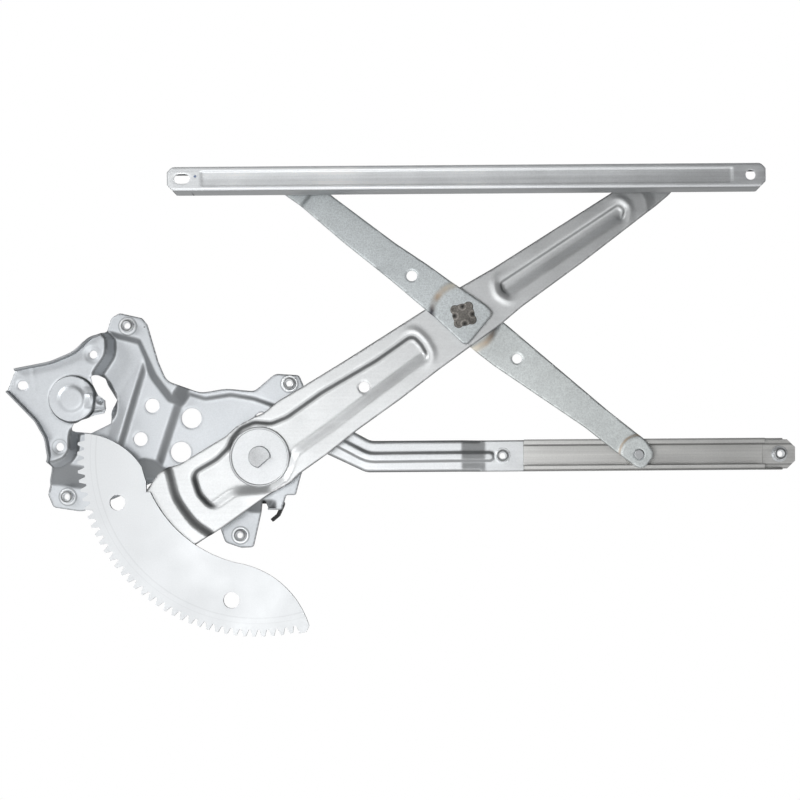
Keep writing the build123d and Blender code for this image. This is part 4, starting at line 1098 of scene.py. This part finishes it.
def tinted_and_shaded_ring(tree, place, colour, spot, radius, width, direction, hues):
    """Colour with a patchy tint round a circle; its hues run along a direction, dark on the side turned
    from the light and pale on the lit side: a real tint with painted shade and highlight.
    """
    ring, flat = ring_at(tree, place, spot, radius, width)
    lean = add_node(tree, "ShaderNodeVectorMath", operation="DOT_PRODUCT")
    lean.inputs[1].default_value = (direction[0], 0, direction[1])
    tree.links.new(flat, lean.inputs[0])
    ramp = add_node(tree, "ShaderNodeValToRGB")
    while len(ramp.color_ramp.elements) < len(hues):
        ramp.color_ramp.elements.new(0.5)
    for stop, (where, hue) in zip(ramp.color_ramp.elements, hues):
        stop.position, stop.color = where, (*hue, 1)
    across = gain(tree, lean.outputs["Value"], 0, 1, -TINT_SHADE_REACH * MM, TINT_SHADE_REACH * MM)
    tree.links.new(across, ramp.inputs[0])
    patchy = times(tree, ring, gain(tree, noise(tree, place, 120.0), 0.5, 1.0, 0.35, 0.6))
    return blend_colour(tree, patchy, colour, ramp.outputs[0])


# %% Zinc material
CLOUD_SCALE, GRAIN_SCALE, STREAK_STRETCH = 26.0, 800.0, (5.0, 150.0, 420.0)
GRAIN_BUMP, GRAIN_DEPTH = 0.05, 0.0003


def zinc(name, tone, tint=(0.975, 1.0, 1.02), metallic=0.6, rough=0.5, clouds=0.05, grain=0.04,
         streaks=0.0, streak_angle=0.0, tint_and_shade=(), spots=(), **marks_and_shade):
    """Plated steel: tone times clouds, grain, streaks, marks and painted shade, then tints with painted
    shade and highlight, and stains.

    The tints round pads, with their painted shade and highlight: spot, radius, width, direction and hues
    of each. spots: (spot, radius, colour).
    """
    material = bpy.data.materials.new(name)
    material.use_nodes = True
    tree = material.node_tree
    shader = tree.nodes["Principled BSDF"]
    place = add_node(tree, "ShaderNodeTexCoord").outputs["Object"]
    cloud = noise(tree, place, CLOUD_SCALE, 4.0)
    speck = noise(tree, place, GRAIN_SCALE, 2.0)
    factor = gain(tree, cloud, 1 - clouds, 1 + clouds)
    factor = times(tree, factor, gain(tree, speck, 1 - grain, 1 + grain))
    if streaks:
        line = noise(tree, place, 1.0, 3.0, stretch=STREAK_STRETCH, turn=radians(streak_angle))
        factor = times(tree, factor, gain(tree, line, 1 - streaks, 1 + streaks))
    factor = marked_and_shaded(tree, place, factor, **marks_and_shade)
    plain = add_node(tree, "ShaderNodeVectorMath", operation="SCALE")
    plain.inputs[0].default_value = tuple(tone * t for t in tint)
    tree.links.new(factor, plain.inputs["Scale"])
    colour = plain.outputs["Vector"]
    for tinted in tint_and_shade:
        colour = tinted_and_shaded_ring(tree, place, colour, *tinted)
    for spot, radius, hue in spots:
        colour = blend_colour(tree, ring_at(tree, place, spot, 0, radius)[0], colour, hue)
    tree.links.new(colour, shader.inputs["Base Color"])
    tree.links.new(gain(tree, cloud, rough - 0.04, rough + 0.05), shader.inputs["Roughness"])
    shader.inputs["Metallic"].default_value = metallic
    dent = add_node(tree, "ShaderNodeBump", Strength=GRAIN_BUMP, Distance=GRAIN_DEPTH)
    tree.links.new(speck, dent.inputs["Height"])
    tree.links.new(dent.outputs[0], shader.inputs["Normal"])
    return material


# %% [markdown]
# The finishes differ by part. The arm and the sector are nearly white, the
# galvanised equaliser halves are duller and speckled, and the staked head of
# the centre pin is bare, brownish steel. Where a pad was drawn hot, a brown
# heat tint runs round its edge, painted black on the side of its step turned
# from the light, a painted shade, and cream on the lit side, a painted highlight.

# %% Finishes
# Black is painted shade on the side of a pad's step turned from the light, brown and tan are the real
# tint, cream is a painted highlight on the lit side
SHADE_BLACK, BROWN, TAN, HIGHLIGHT_CREAM = (0.05, 0.05, 0.06), (0.22, 0.18, 0.15), (0.62, 0.50, 0.38), (0.95, 0.92, 0.82)
TINT_AND_SHADE_HUES = [(0.16, SHADE_BLACK), (0.34, BROWN), (0.56, TAN), (0.88, HIGHLIGHT_CREAM)]
UPPER_TINT_AND_SHADE = [(CENTRE, 27.0, 5.0, (0.6, 0.8), TINT_AND_SHADE_HUES)]
LOWER_TINT_AND_SHADE = [
    (CENTRE, 29.0, 5.0, (-0.71, -0.71), TINT_AND_SHADE_HUES),
    # Round the roller's pad: grey painted shade below and a tan tint above
    (RAIL_PIN_AT, 16.6, 1.8, (0.0, 1.0), [(0.3, (0.5, 0.5, 0.5)), (0.7, TAN)]),
]
RAIL_SCREW = (450.1, 0.0)
DIMPLES = [(CENTRE[0] + a, CENTRE[1] + b) for a, b in ((-0.9, 7.0), (7.6, 0.4), (1.0, -7.6), (-7.6, -1.0))]


def nut_finish(spots):
    """Bright collar with a ring of painted shade round its bore, where the body's edge is."""
    return dict(tone=0.85, rough=0.4, rings=[(spot, 4.2, 1.2, 0.85) for spot in spots])


# In each finish, edge and wall paint shade into the colour at the cut edge and on steep walls
FINISHES = {
    "base_plate": dict(
        tone=0.68, metallic=0.7, edge=0.4, wall=0.5, tint=(0.96, 1.0, 1.04),
        # Rings of painted shade: at the dome's foot, in the lower screw's seat and round the foot of each
        # weld nut
        rings=[(DOME_AT, 19.9, 1.0, 0.5), (MOTOR_SCREWS[1], 6.3, 0.7, 0.25)]
        + [(spot, 7.7, 1.0, 0.4) for spot in NUTS_ON_PLATE],
        spots=[((-96.8, 111.5), 1.1, (0.1, 0.1, 0.1))],
    ),
    "base_weld_nuts": nut_finish(NUTS_ON_PLATE),
    "rail_strap": dict(tone=0.80, metallic=0.8, edge=0.3, wall=0.5, streaks=0.04),
    "lower_rail": dict(
        tone=0.70, metallic=0.85, wall=0.3, streaks=0.10, tint=(1.0, 1.0, 0.98),
        # Lines of painted shade along the rail's lips and bends
        lines=[(8.8, 1.3, 0.6), (-8.8, 1.0, 0.5), (12.9, 1.2, 0.5), (-12.9, 1.6, 0.7)],
    ),
    "rail_weld_nuts": nut_finish([STRAP_SCREW, RAIL_SCREW]),
    "pivot_bush": dict(tone=0.45, rough=0.35),
    "main_arm": dict(
        tone=0.70, metallic=0.92, edge=0.25, wall=0.3, wall_shade_span=(0.7, 1.15),
        streaks=0.03, streak_angle=RAISED_ANGLE, tint=(0.98, 1.0, 1.01),
    ),
    # A ring of painted shade at the disc's rim
    "pivot_disc": dict(tone=0.78, wall=0.3, rings=[((0, 0), 25.4, 1.2, 0.45)]),
    "pivot_shaft": dict(tone=0.52, clouds=0.4, grain=0.1),
    "pivot_retainer": dict(tone=0.45),
    "sector_gear": dict(
        tone=0.76, clouds=0.02, grain=0.02, wall=0.3,
        rings=[((0, 0), 137.0, 1.0, 0.08), ((0, 0), 141.5, 0.6, 0.06)],
    ),
    "main_roller_pin": dict(tone=0.55, rough=0.3),
    "upper_roller_pin": dict(tone=0.55, rough=0.3),
    "lower_roller_pin": dict(tone=0.62, rough=0.4, wall=0.5),
    "upper_equaliser_arm": dict(
        tone=0.67, metallic=0.7, clouds=0.10, grain=0.16, edge=0.6, wall=0.6,
        tint_and_shade=UPPER_TINT_AND_SHADE, tint=(0.94, 1.0, 1.02),
    ),
    "lower_equaliser_arm": dict(
        tone=0.76, metallic=0.75, clouds=0.08, grain=0.12, edge=0.45, wall=0.6,
        tint_and_shade=LOWER_TINT_AND_SHADE, tint=(0.95, 1.0, 1.0),
    ),
    "centre_pin": dict(
        tone=0.20, tint=(1.06, 1.0, 0.92), rough=0.45, clouds=0.5, grain=0.3, wall=0.4,
        # Painted shade in the four dimples, and a painted highlight round each
        rings=[(spot, 0, 2.9, 0.9) for spot in DIMPLES] + [(spot, 3.0, 1.0, -0.8) for spot in DIMPLES],
    ),
    "centre_washers": dict(tone=0.40),
    "top_rail": dict(
        # A painted falloff of the light: the rail darker towards its right end
        tone=0.98, metallic=0.6, light_falloff=(190, 380, 0.79), streaks=0.08, edge=0.4, wall=0.4,
        spots=[((-47.8, 233.6), 1.9, (0.03, 0.10, 0.30)), ((-51.4, 220.4), 1.2, (0.05, 0.05, 0.05))],
    ),
    "assist_spring": dict(tone=0.012, metallic=0.0, rough=0.6),
}
for roller in ("main_roller", "upper_roller", "lower_roller"):
    FINISHES[roller] = dict(tone=0.75, tint=(1.0, 0.99, 0.95), metallic=0.0)

finish_of = {}
for node, values in FINISHES.items():
    finish_of[node] = zinc(node.replace("_", " ") + " finish", **values)
    for slot in NODES[node].material_slots:
        slot.material = finish_of[node]
print("finishes", len(finish_of))

# %% [markdown]
# ## The pressings replace their solids
# Each new piece shows instead of a solid. It moves with the same body, so the
# arms still turn and the top rail still slides, and it carries that solid's
# finish. The spring, the rollers and the parts behind keep their solids.

# %% Pieces take their nodes' places
pressings = [
    (plate_pressing, "base_plate", "base"), (dome, "base_plate", "base"),
    (upper_lip, "base_plate", "base"), (lower_lip, "base_plate", "base"),
    (tab, "base_plate", "base"), (arm_pressing, "main_arm", "main_arm"),
    (upper_arm_pressing, "upper_equaliser_arm", "equaliser"),
    (lower_arm_pressing, "lower_equaliser_arm", "equaliser"),
    (strap_pressing, "rail_strap", "base"), (top_rail_sheet, "top_rail", "top_rail"),
]
copies = [(soft_copies[node], node, body) for node, (_, body) in SOFTENED.items()]
for piece, node, body in pressings + copies:
    stands_for(piece, node, body, finish_of[node])
print("new pieces", len(pressings + copies))
